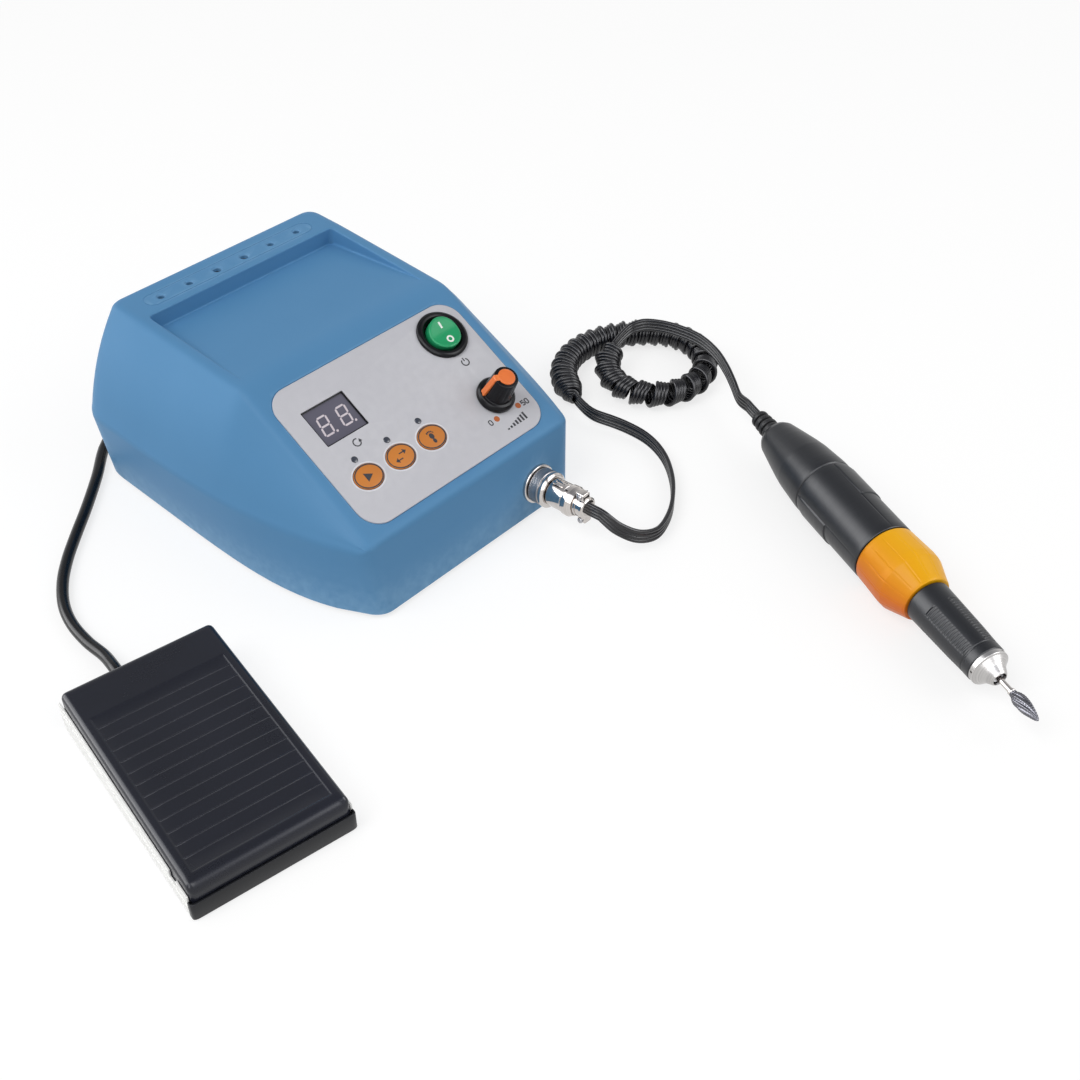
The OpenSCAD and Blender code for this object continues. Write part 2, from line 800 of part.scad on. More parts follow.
module socket_nut() {
  color(steel) stand() at_socket(-nut_seat - nut_t) difference() {
    cylinder(r = socket_r + nut_t, h = nut_t, $fn = 6);
    translate([0, 0, -1]) cylinder(r = socket_r, h = nut_t + 2);
  }
}

module mains_gland() {
  color(black) stand() at_rear(mains_x, mains_z) difference() {
    union() {
      cylinder(r = gland_flange_r, h = gland_flange_t);
      translate([0, 0, -wall - 2]) cylinder(r = gland_r, h = wall + 3);
      translate([0, 0, -wall - 2]) cylinder(r = gland_flange_r - 1, h = 2);
      cylinder(r1 = gland_r + 0.6, r2 = gland_r, h = mains_l);
    }
    translate([0, 0, -wall - 3]) cylinder(r = mains_bore_r, h = wall + mains_l + 4);
  }
}

module pedal_inlet() {
  color(black) stand() at_rear(inlet_x, inlet_z) {
    cylinder(r = gland_flange_r, h = gland_flange_t);
    translate([0, 0, -wall - 2]) cylinder(r = gland_r, h = wall + 3);
    translate([0, 0, -wall - 2]) cylinder(r = gland_flange_r - 1, h = 2);
    cylinder(r1 = gland_r + 0.6, r2 = inlet_tip_r, h = inlet_l);
  }
}

module plug_body() {
  r = plug_d / 2;
  color(steel) stand() at_socket(0) difference() {
    lathe([[0, cup_floor + 1], [nose_r, cup_floor + 1], [nose_r, sleeve_start], [r - 0.4, sleeve_start],
      [r, sleeve_start + 0.5], [r, sleeve_end - 6], [r + 0.5, sleeve_end - 5.4],
      [r + 0.5, sleeve_end - 2.6], [r - 0.8, sleeve_end], [0, sleeve_end]]);
    for (a = [30, 150, 270])
      rotate([0, 0, a]) translate([2.6, 0, 0]) cylinder(r = 0.8, h = cup_floor + 4);
  }
}

module coupling_ring() {
  r = coupling_d / 2;
  thread = socket_r + run_gap;
  neck = nose_r + run_gap;
  foot = flange_t + free_gap;
  lip = coupling_end - coupling_lip;
  color(steel) stand() at_socket(0) lathe([[thread, foot], [r, foot], [r, coupling_end - 0.8],
    [r - 0.8, coupling_end], [neck, coupling_end], [neck, lip], [thread, lip]]);
}

module cord_clamp() {
  color(steel) stand() at_socket(sleeve_end) difference() {
    union() {
      cylinder(r = clamp_r, h = clamp_l);
      translate([-ear_w / 2, -clamp_r - ear_l, ear_in])
        cube([ear_w, 2 * (clamp_r + ear_l), clamp_l - 2 * ear_in]);
    }
    for (y = [-screw_y, screw_y])
      translate([-ear_w, y, clamp_l / 2]) rotate([0, 90, 0]) cylinder(r = clamp_screw_r, h = 2 * ear_w);
  }
}

module clamp_screws() {
  color(steel) stand() at_socket(sleeve_end) for (y = [-screw_y, screw_y])
    translate([0, y, clamp_l / 2]) rotate([0, -90, 0]) {
      translate([0, 0, -ear_w * 0.7]) cylinder(r = clamp_screw_r, h = ear_w * 1.2);
      translate([0, 0, ear_w / 2]) cylinder(r = clamp_head_r, h = clamp_head_l);
    }
}

module strain_relief() {
  color(black) stand() at_hand(0) lathe(concat(
    [[0, 5], [relief_r + 1, 5], [relief_r + 1, 3], [relief_r, 3], [relief_r, -0.5]],
    [for (i = [0:3]) each let (z = -1 - i * 3.4, r = relief_r - i * 0.3)
      [[r - 1, z], [r - 1, z - 1.2], [r - 0.1, z - 1.2], [r - 0.2, z - 3.4]]],
    [[relief_r - 1.4, -relief_l], [0, -relief_l]]));
}

module rear_cap() {
  r = case_r - 0.1;
  inner = bore_r - cap_wall;
  color(black) stand() at_hand(0) lathe([[relief_r, 0], [tail_r, 0], [8, cap_l * 0.1],
    [10.6, cap_l * 0.29], [13, cap_l * 0.6], [r - 0.2, cap_l * 0.83], [r, cap_end - 0.6],
    [r - 0.5, cap_end], [bore_r, cap_end], [bore_r, cap_end + spigot_l], [inner, cap_end + spigot_l],
    [inner, cap_l * 0.6], [8.8, cap_l * 0.3], [relief_r + 1, 5], [relief_r + 1, 3], [relief_r, 3]]);
}

module motor_case() {
  inside = case_end - front_wall;
  color(black) stand() at_hand(0) lathe([[bore_r, cap_end], [case_r - 0.4, cap_end],
    [case_r, cap_end + 0.5], [case_r, case_end], [bearing_r - 1, case_end],
    [bearing_r - 1, inside + bearing_t], [bearing_r, inside + bearing_t], [bearing_r, inside],
    [bore_r, inside]]);
}

module stator_magnets() {
  color([0.3, 0.3, 0.32]) stand() at_hand(magnet_z) difference() {
    tube(bore_r, armature_r + air_gap, magnet_l);
    translate([-2, -20, -1]) cube([4, 40, magnet_l + 2]);
  }
}

module brush_holder() {
  color([0.5, 0.35, 0.2]) stand() at_hand(holder_z) difference() {
    union() {
      cylinder(r = bore_r, h = holder_t);
      for (a = [0, 180])
        rotate([0, 0, a]) translate([6, -brush_w / 2 - 1.2, 0])
          cube([5, brush_w + 2.4, holder_t + guide_h]);
    }
    translate([0, 0, -1]) cylinder(r = bearing_r, h = holder_t + 1.5);
    for (a = [0, 180])
      rotate([0, 0, a]) translate([5, -brush_w / 2, holder_t + 2.5]) cube([7, brush_w, brush_w]);
  }
}

module carbon_brushes() {
  color(black) stand() at_hand(holder_z + holder_t + 2.5) for (a = [0, 180])
    rotate([0, 0, a]) translate([commutator_r + run_gap, -brush_w / 2, 0])
      cube([11 - commutator_r - run_gap, brush_w, brush_w]);
}

module bearings() {
  color(steel) stand() {
    at_hand(holder_z) tube(bearing_r, shaft_r + run_gap, bearing_t);
    at_hand(case_end - front_wall) tube(bearing_r, shaft_r + run_gap, bearing_t);
    for (z = bearing2_z)
      at_hand(z) tube(housing_in, spindle_r + run_gap, bearing2_t);
  }
}

module armature() {
  color([0.6, 0.4, 0.25]) stand() at_hand(0) {
    translate([0, 0, holder_z - 3]) cylinder(r = shaft_r, h = coupling_z + coupling_l / 2 - holder_z + 3);
    translate([0, 0, commutator_z]) cylinder(r = commutator_r, h = commutator_l);
    translate([0, 0, magnet_z + 1]) difference() {
      cylinder(r = armature_r, h = magnet_l - 2);
      for (a = [0:60:300])
        rotate([0, 0, a]) translate([armature_r - 2.4, -0.7, -1]) cube([4, 1.4, magnet_l]);
    }
  }
}

module drive_coupling() {
  color(steel) stand() at_hand(coupling_z) tube(coupling_r, shaft_r, coupling_l);
}

module spindle_housing() {
  color(steel) stand() at_hand(case_end) difference() {
    union() {
      cylinder(r = housing_flange_r, h = flange_h);
      cylinder(r = housing_r, h = sleeve1 - case_end);
    }
    translate([0, 0, -1]) cylinder(r = housing_in, h = sleeve1 - case_end + 2);
  }
}

module spindle() {
  color(steel) stand() at_hand(0) difference() {
    union() {
      translate([0, 0, spindle_z]) cylinder(r = spindle_r, h = spindle_end - spindle_z);
      translate([0, 0, coupling_z + coupling_l / 2 + 0.2])
        cylinder(r = shaft_r, h = spindle_z - coupling_z - coupling_l / 2);
    }
    translate([0, 0, collet_z]) cylinder(r = collet_r, h = nose_end - collet_z);
  }
}

module collet() {
  color(steel) stand() at_hand(collet_z) difference() {
    cylinder(r = collet_r, h = collet_end - collet_z);
    translate([0, 0, 2]) cylinder(r = shank_r, h = nose_end - collet_z);
    for (a = [0, 120, 240])
      rotate([0, 0, a]) translate([0, -0.2, collet_end - collet_z - 8]) cube([4, 0.4, 10]);
  }
}

module bur() {
  r = bur_d / 2;
  color([0.4, 0.4, 0.42]) stand() at_hand(0) {
    translate([0, 0, collet_z + 2]) cylinder(r = shank_r, h = head_z - collet_z - 1);
    translate([0, 0, head_z]) lathe([[0, 0], [r * 0.52, 0], [r * 0.6, bur_l * 0.06],
      [r * 0.86, bur_l * 0.16], [r, bur_l * 0.32], [r * 0.95, bur_l * 0.5], [r * 0.72, bur_l * 0.72],
      [r * 0.4, bur_l * 0.9], [r * 0.12, bur_l], [0, bur_l]]);
  }
}

module chuck_ring() {
  r = ring_d / 2;
  color(orange) stand() at_hand(0) difference() {
    lathe([[ring_room_r, ring_start], [case_r - 0.6, ring_start], [case_r, ring_start + 0.8],
      [r, ring_start + ring_l * 0.56], [r - 0.3, ring_start + ring_l * 0.62], [10.9, ring_end - 0.6],
      [10.4, ring_end], [housing_r + run_gap, ring_end], [housing_r + run_gap, ring_end - ring_bore_l],
      [ring_room_r, ring_end - ring_bore_l]]);
    for (a = [0:30:330])
      rotate([0, 0, a]) translate([r - flute_d, -flute_w / 2, ring_start + ring_l * 0.2])
        cube([3, flute_w, ring_l]);
  }
}

module nose_sleeve() {
  r = sleeve_d / 2;
  taper = (sleeve_d - sleeve_tip_d) / 2 / sleeve_l;
  color(black) stand() at_hand(sleeve0) lathe(concat([[housing_r, 0], [r - 0.3, 0], [r - taper, 1]],
    [for (i = [0:groove_n - 1]) each let (z = 5 + i * groove_pitch, g = r - taper * z)
      [[g, z], [g - groove_d, z + 0.4], [g - groove_d, z + 0.8], [g - taper, z + 1.2]]],
    [[sleeve_tip_d / 2, sleeve_l - 0.5], [sleeve_tip_d / 2 - 0.4, sleeve_l], [housing_r, sleeve_l]]));
}

module nose_cap() {
  r = sleeve_tip_d / 2 - 0.2;
  color(steel) stand() at_hand(sleeve1) lathe([[spindle_r + free_gap, 0], [r, 0], [r, 1.8], [r - 1, 2.4],
    [r * 0.62, nose_l * 0.62], [nose_tip_r, nose_l - 0.3], [nose_tip_r - 0.3, nose_l],
    [nose_bore_r, nose_l], [nose_bore_r, 3], [spindle_r + free_gap, 3]]);
}

// Front wall of the pedal base, with rounded ends
lip_line = concat(
  [for (i = [0:4]) bend3([-ped_w / 2, lip_r], [-ped_w / 2, 0], [lip_r - ped_w / 2, 0], i / 4)],
  [for (i = [0:4]) bend3([ped_w / 2 - lip_r, 0], [ped_w / 2, 0], [ped_w / 2, lip_r], i / 4)],
  [[ped_w / 2, lip_t], [-ped_w / 2, lip_t]]);

module pedal_base() {
  color(black) stand() at_pedal() difference() {
    union() {
      translate([-tray_in / 2, -ped_l / 2, ped_foot_h]) {
        cube([tray_in, ped_l, floor_t]);
        translate([0, ped_l - wall_t, 0]) cube([tray_in, wall_t, base_rear_h - ped_foot_h]);
      }
      translate([0, -ped_l / 2, ped_foot_h]) linear_extrude(base_front_h - ped_foot_h) polygon(lip_line);
      for (x = [-lug_x - lug_t, lug_x]) {
        translate([x, hinge_y, hinge_z]) rotate([0, 90, 0]) cylinder(r = lug_r, h = lug_t);
        translate([x, hinge_y - lug_r, floor_z - 0.5]) cube([lug_t, 2 * lug_r, hinge_z - floor_z + 0.5]);
      }
    }
    translate([-ped_w, hinge_y, hinge_z]) rotate([0, 90, 0]) cylinder(r = pin_r, h = 2 * ped_w);
    translate([gland_x, ped_l / 2 - 2 * wall_t, gland_z]) rotate([-90, 0, 0])
      cylinder(r = ped_neck_r, h = 4 * wall_t);
  }
}

module side_rails() {
  rail_y = lip_t - ped_l / 2;
  notch_y = rail_y + 10.4;
  color(steel) stand() at_pedal() for (s = [0, 1]) mirror([s, 0, 0])
    translate([tray_in / 2, 0, 0]) rotate([90, 0, 90]) linear_extrude(rail_t)
      polygon([[rail_y, ped_foot_h], [ped_l / 2, ped_foot_h], [ped_l / 2, base_rear_h],
        [notch_y + 5, base_front_h + 0.3], [notch_y + 5, base_front_h - 3], [notch_y, base_front_h - 3],
        [notch_y, base_front_h], [rail_y, base_front_h]]);
}

// Underside of the treadle's top
function under_z(y) = ped_front_h - cover_wall + cover_slope * (y - cover_y0);
// Side view of the treadle, set in by a given amount
function cover_side(in) = let (
    slope = cover_slope,
    y0 = cover_y0 + in,
    y1 = cover_y1 - in,
    r = max(0.5, cover_r - in),
    f = max(0.5, cover_front_r - in),
    z0 = ped_front_h - in + slope * in,
    z1 = ped_rear_h - in - slope * in,
    down = in > 0 ? 20 : 0)
  concat([[y0, cover_front_z - down]],
    [for (i = [0:6]) bend3([y0, z0 - f], [y0, z0], [y0 + f, z0 + slope * f], i / 6)],
    [for (i = [0:6]) bend3([y1 - r, z1 - slope * r], [y1, z1], [y1, z1 - r], i / 6)],
    [[y1, cover_rear_z - down]]);
function cover_top(in) = let (w = cover_w / 2 - in, r = max(0.5, cover_r - in)) concat([[-w, -40]],
  [for (i = [0:6]) bend3([-w, -in - r], [-w, -in], [-w + r, -in], i / 6)],
  [for (i = [0:6]) bend3([w - r, -in], [w, -in], [w, -in - r], i / 6)],
  [[w, -40]]);

module cover_block(in) {
  tip = atan(cover_slope);
  intersection() {
    translate([-ped_w, 0, 0]) rotate([90, 0, 90]) linear_extrude(2 * ped_w) polygon(cover_side(in));
    translate([0, cover_y0, ped_front_h]) rotate([tip, 0, 0]) translate([0, 1.5 * ped_l, 0])
      rotate([90, 0, 0]) linear_extrude(2 * ped_l) polygon(cover_top(in));
  }
}

module pedal_cover() {
  tip = atan(cover_slope);
  step = (tread_y1 - tread_y0) / (rib_n + 1);
  color(black) stand() at_pedal() difference() {
    union() {
      difference() {
        cover_block(0);
        cover_block(cover_wall);
        translate([0, cover_y0, ped_front_h]) rotate([tip, 0, 0])
          translate([-tread_w / 2, tread_y0 - cover_y0, -tread_d])
            cube([tread_w, tread_y1 - tread_y0, 5]);
      }
      for (i = [1:rib_n])
        translate([0, cover_y0, ped_front_h]) rotate([tip, 0, 0])
          translate([-tread_w / 2, tread_y0 - cover_y0 + i * step, -tread_d - sunk / 2])
            cube([tread_w, rib_w, rib_h + sunk / 2]);
      for (x = [-knuckle_x - lug_t, knuckle_x])
        translate([x, hinge_y - lug_r, hinge_z - lug_r])
          cube([lug_t, 2 * lug_r, under_z(hinge_y) + sunk - hinge_z + lug_r]);
      translate([0, spring_y, spring_top])
        cylinder(r = spring_seat_r, h = under_z(spring_y) + sunk - spring_top);
      translate([0, switch_y, spring_top + free_gap])
        cylinder(r = pusher_r, h = under_z(switch_y) + sunk - spring_top - free_gap);
    }
    translate([-ped_w, hinge_y, hinge_z]) rotate([0, 90, 0]) cylinder(r = pin_r + run_gap, h = 2 * ped_w);
  }
}

module pedal_hinge_pin() {
  reach = knuckle_x + lug_t;
  color(steel) stand() at_pedal() translate([-reach, hinge_y, hinge_z]) rotate([0, 90, 0])
    cylinder(r = pin_r, h = 2 * reach);
}

module pedal_spring() {
  color(steel) stand() at_pedal() translate([0, spring_y, floor_z])
    tube(spring_r, spring_r - 1, spring_top - floor_z);
}

module pedal_switch() {
  color(black) stand() at_pedal() translate([0, switch_y, floor_z]) {
    translate([-10, -3.5, 0]) cube([20, 7, 6.5]);
    cylinder(r = 1.5, h = 7.6);
  }
}

module pedal_feet() {
  color(black) stand() at_pedal() for (x = [-1, 1]) for (y = [-1, 1])
    translate([x * (ped_w / 2 - 10), y * (ped_l / 2 - 10), 0]) cylinder(r1 = 4.6, r2 = 5, h = ped_foot_h);
}

module pedal_gland() {
  color(black) stand() at_pedal() translate([gland_x, ped_l / 2, gland_z]) rotate([-90, 0, 0]) {
    cylinder(r1 = ped_gland_r, r2 = cord_d / 2 + 0.6, h = ped_gland_l);
    translate([0, 0, -wall_t - ped_collar_t]) cylinder(r = ped_neck_r, h = 2 * wall_t + ped_collar_t);
    translate([0, 0, -wall_t - ped_collar_t]) cylinder(r = ped_collar_r, h = ped_collar_t);
  }
}

// Cords
function unit(v) = v / norm(v);
function turn2(a, v) = [cos(a) * v[0] - sin(a) * v[1], sin(a) * v[0] + cos(a) * v[1]];
function ease(p, i, t) = let (
    a = p[max(i - 1, 0)],
    b = p[i],
    c = p[i + 1],
    d = p[min(i + 2, len(p) - 1)])
  0.5 * (2 * b + (c - a) * t + (2 * a - 5 * b + 4 * c - d) * t * t + (3 * b - a - 3 * c + d) * t * t * t);
// Smooth line through a route; the first and last stretch stay straight
function smooth(p, n) = concat([p[0]],
  [for (i = [1:len(p) - 3]) for (j = [0:n - 1]) ease(p, i, j / n)],
  [p[len(p) - 2], p[len(p) - 1]]);
function along(p, k) = unit(p[min(k + 1, len(p) - 1)] - p[max(k - 1, 0)]);
function flat_section(w, t) = [[0, w / 2], [-t / 2, w / 3.4], [-t / 2, -w / 3.4], [0, -w / 2],
  [t / 2, -w / 3.4], [t / 2, w / 3.4]];
function round_section(d, n) =
  [for (j = [0:n - 1]) let (a = (j + 0.5) * 360 / n) d / 2 * [cos(a), sin(a)]];
function tube_rings(p, sec) = [for (k = [0:len(p) - 1]) let (
    t = along(p, k),
    s = unit(cross(t, [0, 0, 1])),
    u = cross(s, t))
  [for (q = sec) p[k] + q[0] * s + q[1] * u]];

module skin_rings(rings) {
  n = len(rings[0]);
  m = len(rings);
  e = (m - 1) * n;
  polyhedron(points = [for (r = rings) for (q = r) q], convexity = 10, faces = concat(
    [for (k = [0:m - 2]) for (j = [0:n - 1]) each let (i = (j + 1) % n)
      [[k * n + j, k * n + i, k * n + n + i], [k * n + j, k * n + n + i, k * n + n + j]]],
    [for (j = [1:n - 2]) [0, j + 1, j]],
    [for (j = [1:n - 2]) [e, e + j, e + j + 1]]));
}

// Plug ribbon: from the clamp to the first curl
plug_dir = [0, -cos(front_tilt), sin(front_tilt)];
plug_tip = [sock_x, sock_y, sock_z] + clamp_end * plug_dir;
curl_at = [152.5, -52.5];
// Middle line of the curly part: angle, radius and height about its centre
curl_polar = [[178, 52, 7.1], [171, 50.4, 7.1], [160, 48.6, 7.1], [145, 46.2, 7.1], [130, 42.2, 7.1],
  [115, 37.4, 7.1], [98, 32.4, 7.1], [78, 28, 7.1], [55, 25.4, 7.1], [25, 24.4, 7.1], [-5, 24.2, 7.1],
  [-35, 24.2, 7.1], [-65, 24.8, 7.1], [-95, 25.6, 7.1], [-122, 27, 7.1], [-148, 28, 7.1], [-172, 28, 7.3],
  [-195, 26.6, 8.1], [-213, 24.4, 9.5], [-230, 22.2, 11.1], [-247, 20.6, 12.5], [-258, 20, 13.2]];
curl_pts = [for (q = curl_polar) [curl_at[0] + q[1] * cos(q[0]), curl_at[1] + q[1] * sin(q[0]), q[2]]];
curl_start = curl_pts[0];
curl_in = unit(curl_pts[1] - curl_pts[0]);
plug_route = [plug_tip, plug_tip + ribbon_w * plug_dir, [39.5, -125, 14], [46, -131, 9], [56, -133, 5.4],
  [67, -130, 4.2], [78, -124, 4], [90, -114, 4], [100, -101, 4], [105, -86.5, 4.2], [103.6, -71, 5.2],
  curl_start - ribbon_w * curl_in, curl_start];

guide_raw = concat([curl_start],
  [for (i = [1:len(curl_pts) - 2]) for (j = [0:5]) ease(curl_pts, i, j / 6)],
  [curl_pts[len(curl_pts) - 1]]);
function sums(p, i = 1, s = [0]) = i >= len(p) ? s
  : sums(p, i + 1, concat(s, [s[i - 1] + norm(p[i] - p[i - 1])]));
guide_len = sums(guide_raw);
guide_end = guide_len[len(guide_len) - 1];
tables = [for (c = [0:2]) [for (i = [0:len(guide_raw) - 1]) [guide_len[i], guide_raw[i][c]]]];
function guide(s) = [lookup(s, tables[0]), lookup(s, tables[1]), lookup(s, tables[2])];
curl_rings = curl_n * 8;
curl_lead = ribbon_w;
function curl_s(k) = curl_lead + (guide_end - 2 * curl_lead) * k / curl_rings;
function curl_open(k) = let (q = min(k, curl_rings - k) / 5) q >= 1 ? 1 : q * q * (3 - 2 * q);
function curl_frame(k) = let (
    s = curl_s(k),
    t = unit(guide(s + 1.5) - guide(s - 1.5)),
    a = unit(cross(t, [0, 0, 1])),
    u = cross(a, t))
  cos(k * 45) * a + sin(k * 45) * u;
curl_axis = [for (k = [0:curl_rings]) guide(curl_s(k)) + curl_r * curl_open(k) * curl_frame(k)];
curl_line = concat([guide_raw[0]], curl_axis, [guide(guide_end)]);
curl_sides = concat([curl_frame(0)], [for (k = [0:curl_rings]) curl_frame(k)], [curl_frame(curl_rings)]);
function curl_ring(k) = let (
    t = along(curl_line, k),
    a0 = curl_sides[k],
    a1 = unit(a0 - (a0 * t) * t),
    w1 = cross(a1, t),
    lean = curl_tilt * curl_open(max(0, min(k - 1, curl_rings))),
    a = cos(lean) * a1 + sin(lean) * w1,
    w = cos(lean) * w1 - sin(lean) * a1)
  [for (q = flat_section(ribbon_w, ribbon_t)) curl_line[k] + q[0] * a + q[1] * w];
curl_mesh = [for (k = [0:len(curl_line) - 1]) curl_ring(k)];
// Least gap between neighbouring curls, from each corner to the sides of the next curl's sections
function to_line(p, a, b) = let (t = max(0, min(1, (p - a) * (b - a) / ((b - a) * (b - a)))))
  norm(p - a - t * (b - a));
function ring_gap(p, ring) = min([for (e = [0:5]) to_line(p, ring[e], ring[(e + 1) % 6])]);
curl_gap = min([for (i = [1:curl_rings - 10]) for (j = [i + 6:i + 10]) for (p = curl_mesh[i])
  ring_gap(p, curl_mesh[j])]);
curl_pass = min([for (i = [0:3:curl_rings - 20]) for (j = [i + 20:3:curl_rings])
  norm(curl_axis[i] - curl_axis[j]) - ribbon_t]);
echo(curl_gap = curl_gap, curl_pass = curl_pass, curl_pitch = guide_end / curl_n);

// Ribbon from the last curl to the handpiece
curl_stop = guide(guide_end);
curl_out = unit(guide(guide_end) - guide(guide_end - 1.5));
hand_dir = [cos(hand_turn), sin(hand_turn), 0];
relief_tip = [hand_at[0], hand_at[1], hand_z] - relief_l * hand_dir;
hand_route = [curl_stop, curl_stop + ribbon_w * curl_out, [162, -35.5, 15.8], [166, -44.5, 17.2],
  [167.6, -56, 18.4], [167.4, -68, 18.8], [164, -80, 18.4], [159, -90, 17.2], [154.3, -98, 15],
  [149.4, -105.6, 12.8], relief_tip - (ribbon_w + 3) * hand_dir,
  relief_tip - ribbon_w * hand_dir, relief_tip];

// Pedal cord from the pedal to the coil
ped_tip2 = turn2(ped_turn, [gland_x, ped_l / 2 + ped_gland_l]);
ped_tip = [ped_at[0] + ped_tip2[0], ped_at[1] + ped_tip2[1], gland_z];
ped_dir2 = turn2(ped_turn, [0, 1]);
ped_dir = [ped_dir2[0], ped_dir2[1], 0];
coil_in = [coil_at[0], coil_at[1] - coil_r, coil_z];
cord_z = cord_d / 2 + 0.3;
cord_route = [ped_tip, ped_tip + cord_d * ped_dir, [-146.2, -20, 4.4], [-146, -7.6, 3.2],
  [-144.4, 5.6, cord_z], [-140.4, 17.6, cord_z], [-133.2, 29.4, cord_z], [-124, 40, cord_z],
  [-113, 50.4, cord_z], [-99, 63, cord_z], [-84, 77.5, cord_z], [-67, 95, cord_z], [-48, 104, cord_z],
  [-28, 104.5, cord_z], [-8, 99, cord_z], [8, 93, cord_z], [19, 90.4, 3.4],
  coil_in - [2 * cord_d, 0, 0], coil_in - [cord_d, 0, 0]];

// Coil: spirals in on the first layer and out on the second
function coil_u(k) = coil_turns * k / coil_rings;
function coil_pt(k) = let (
    u = coil_u(k),
    mid = coil_turns / 2,
    r = coil_r - coil_step * min(u, coil_turns - u),
    up = min(1, max(0, (u - mid + 0.25) / 0.5)),
    a = -90 + 360 * u)
  [coil_at[0] + r * cos(a), coil_at[1] + r * sin(a), coil_z + coil_step * up * up * (3 - 2 * up)];
coil_axis = [for (k = [0:coil_rings]) coil_pt(k)];
coil_line = concat([coil_in - [cord_d, 0, 0]], coil_axis, [coil_axis[coil_rings] - [0, cord_d, 0]]);
coil_gap = min([for (i = [0:coil_rings - 12]) for (j = [i + 12:coil_rings])
  norm(coil_axis[i] - coil_axis[j])]) - cord_d;
echo(coil_gap = coil_gap);
coil_out = coil_line[len(coil_line) - 1];
inlet_tip = [inlet_x, rear_wall_y + inlet_l, inlet_z];
tail_route = [coil_out, coil_out - [0, 3, 0],
  [inlet_x, (coil_out[1] + inlet_tip[1]) / 2, (coil_out[2] + inlet_z) / 2],
  inlet_tip + [0, cord_d, 0], inlet_tip];

module plug_ribbon() {
  color(black) stand() skin_rings(tube_rings(smooth(plug_route, 3), flat_section(ribbon_w, ribbon_t)));
}

module curly_cord() {
  color(black) stand() skin_rings(curl_mesh);
}

module handpiece_ribbon() {
  color(black) stand() skin_rings(tube_rings(smooth(hand_route, 3), flat_section(ribbon_w, ribbon_t)));
}

module pedal_cord() {
  color(black) stand() skin_rings(tube_rings(smooth(cord_route, 3), round_section(cord_d, 10)));
}

module pedal_cord_coil() {
  color(black) stand() skin_rings(tube_rings(coil_line, round_section(cord_d, 6)));
}

module pedal_cord_tail() {
  color(black) stand() skin_rings(tube_rings(smooth(tail_route, 3), round_section(cord_d, 10)));
}

module coil_tie() {
  inner = coil_r - coil_step * coil_turns / 2 - cord_d / 2 - 1.4;
  outer = coil_r + cord_d / 2 + 1;
  high = coil_z + coil_step + cord_d / 2 + 0.6;
  color(steel) stand() translate([coil_at[0], coil_at[1], 0]) rotate([0, 0, tie_angle])
    translate([inner, -tie_w / 2, 0]) difference() {
      cube([outer - inner, tie_w, high + tie_t]);
      translate([tie_t, -1, tie_t]) cube([outer - inner - 2 * tie_t, tie_w + 2, high - tie_t]);
    }
}

top_shell();
base_plate();
rubber_feet();
base_screws();
bur_bushes();
panel_sheet();
display_block();
indicator_lamps();
panel_board();
key_switches();
start_button();
direction_button();
mode_button();
switch_body();
power_rocker();
speed_pot();
pot_shaft();
speed_knob();
knob_pointer();
transformer();
main_board();
front_socket();
socket_nut();
mains_gland();
pedal_inlet();
plug_body();
coupling_ring();
cord_clamp();
clamp_screws();
strain_relief();
rear_cap();
motor_case();
stator_magnets();
brush_holder();
carbon_brushes();
bearings();
armature();
drive_coupling();
spindle_housing();
spindle();
collet();
bur();
chuck_ring();
nose_sleeve();
nose_cap();
pedal_base();
side_rails();
pedal_cover();
pedal_hinge_pin();
pedal_spring();
pedal_switch();
pedal_feet();
pedal_gland();
plug_ribbon();
curly_cord();
handpiece_ribbon();
pedal_cord();
pedal_cord_coil();
pedal_cord_tail();
coil_tie();
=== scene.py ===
import math

import bmesh
import bpy
from mathutils import Matrix, Vector


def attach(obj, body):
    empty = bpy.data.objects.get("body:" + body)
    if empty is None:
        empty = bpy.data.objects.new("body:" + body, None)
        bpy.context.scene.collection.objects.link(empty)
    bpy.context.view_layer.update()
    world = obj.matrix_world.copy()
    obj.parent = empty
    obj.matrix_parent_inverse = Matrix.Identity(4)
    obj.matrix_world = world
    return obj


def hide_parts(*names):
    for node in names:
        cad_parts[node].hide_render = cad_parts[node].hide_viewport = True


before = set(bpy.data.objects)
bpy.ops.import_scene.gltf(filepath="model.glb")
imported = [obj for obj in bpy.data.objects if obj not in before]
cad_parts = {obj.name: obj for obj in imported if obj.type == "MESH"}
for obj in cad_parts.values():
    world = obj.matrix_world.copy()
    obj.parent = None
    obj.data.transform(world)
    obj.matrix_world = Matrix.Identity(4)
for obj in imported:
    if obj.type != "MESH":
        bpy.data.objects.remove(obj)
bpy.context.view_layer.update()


# ---------------------------------------------------------------- places, in mm

def spun(axis, degrees):
    return Matrix.Rotation(math.radians(degrees), 4, axis)


def set_at(x, y, z):
    return Matrix.Translation((x, y, z))


HERE = Matrix.Identity(4)
# The box stands at the middle of its own frame, and the row frame is that one moved.
BOX = Matrix.Scale(0.001, 4) @ set_at(24.8, 103.4, 0)
PANEL_TILT = 28
BEND_Y, BEND_Z = -7.0983, 76.4967
SLOPE = set_at(0, BEND_Y, BEND_Z) @ spun("X", PANEL_TILT)
SOCKET = set_at(36.5, -81.2647, 16) @ spun("X", 90 - 5.0424)
HANDPIECE = set_at(135.2, -136.6, 15) @ spun("Z", -113) @ spun("Y", 90)
PEDAL = set_at(-153.8, -95, 0) @ spun("Z", -10)
# Where the cord leaves the pedal, in the pedal's frame
PEDAL_TAIL_X, PEDAL_END_Y, PEDAL_TAIL_Z = -5.5, 52.5, 6
# Middles of the two openings in the rear wall
REAR_WALL_Y, PEDAL_INLET, MAINS_INLET = 85.5, (2, 14), (-45, 20)


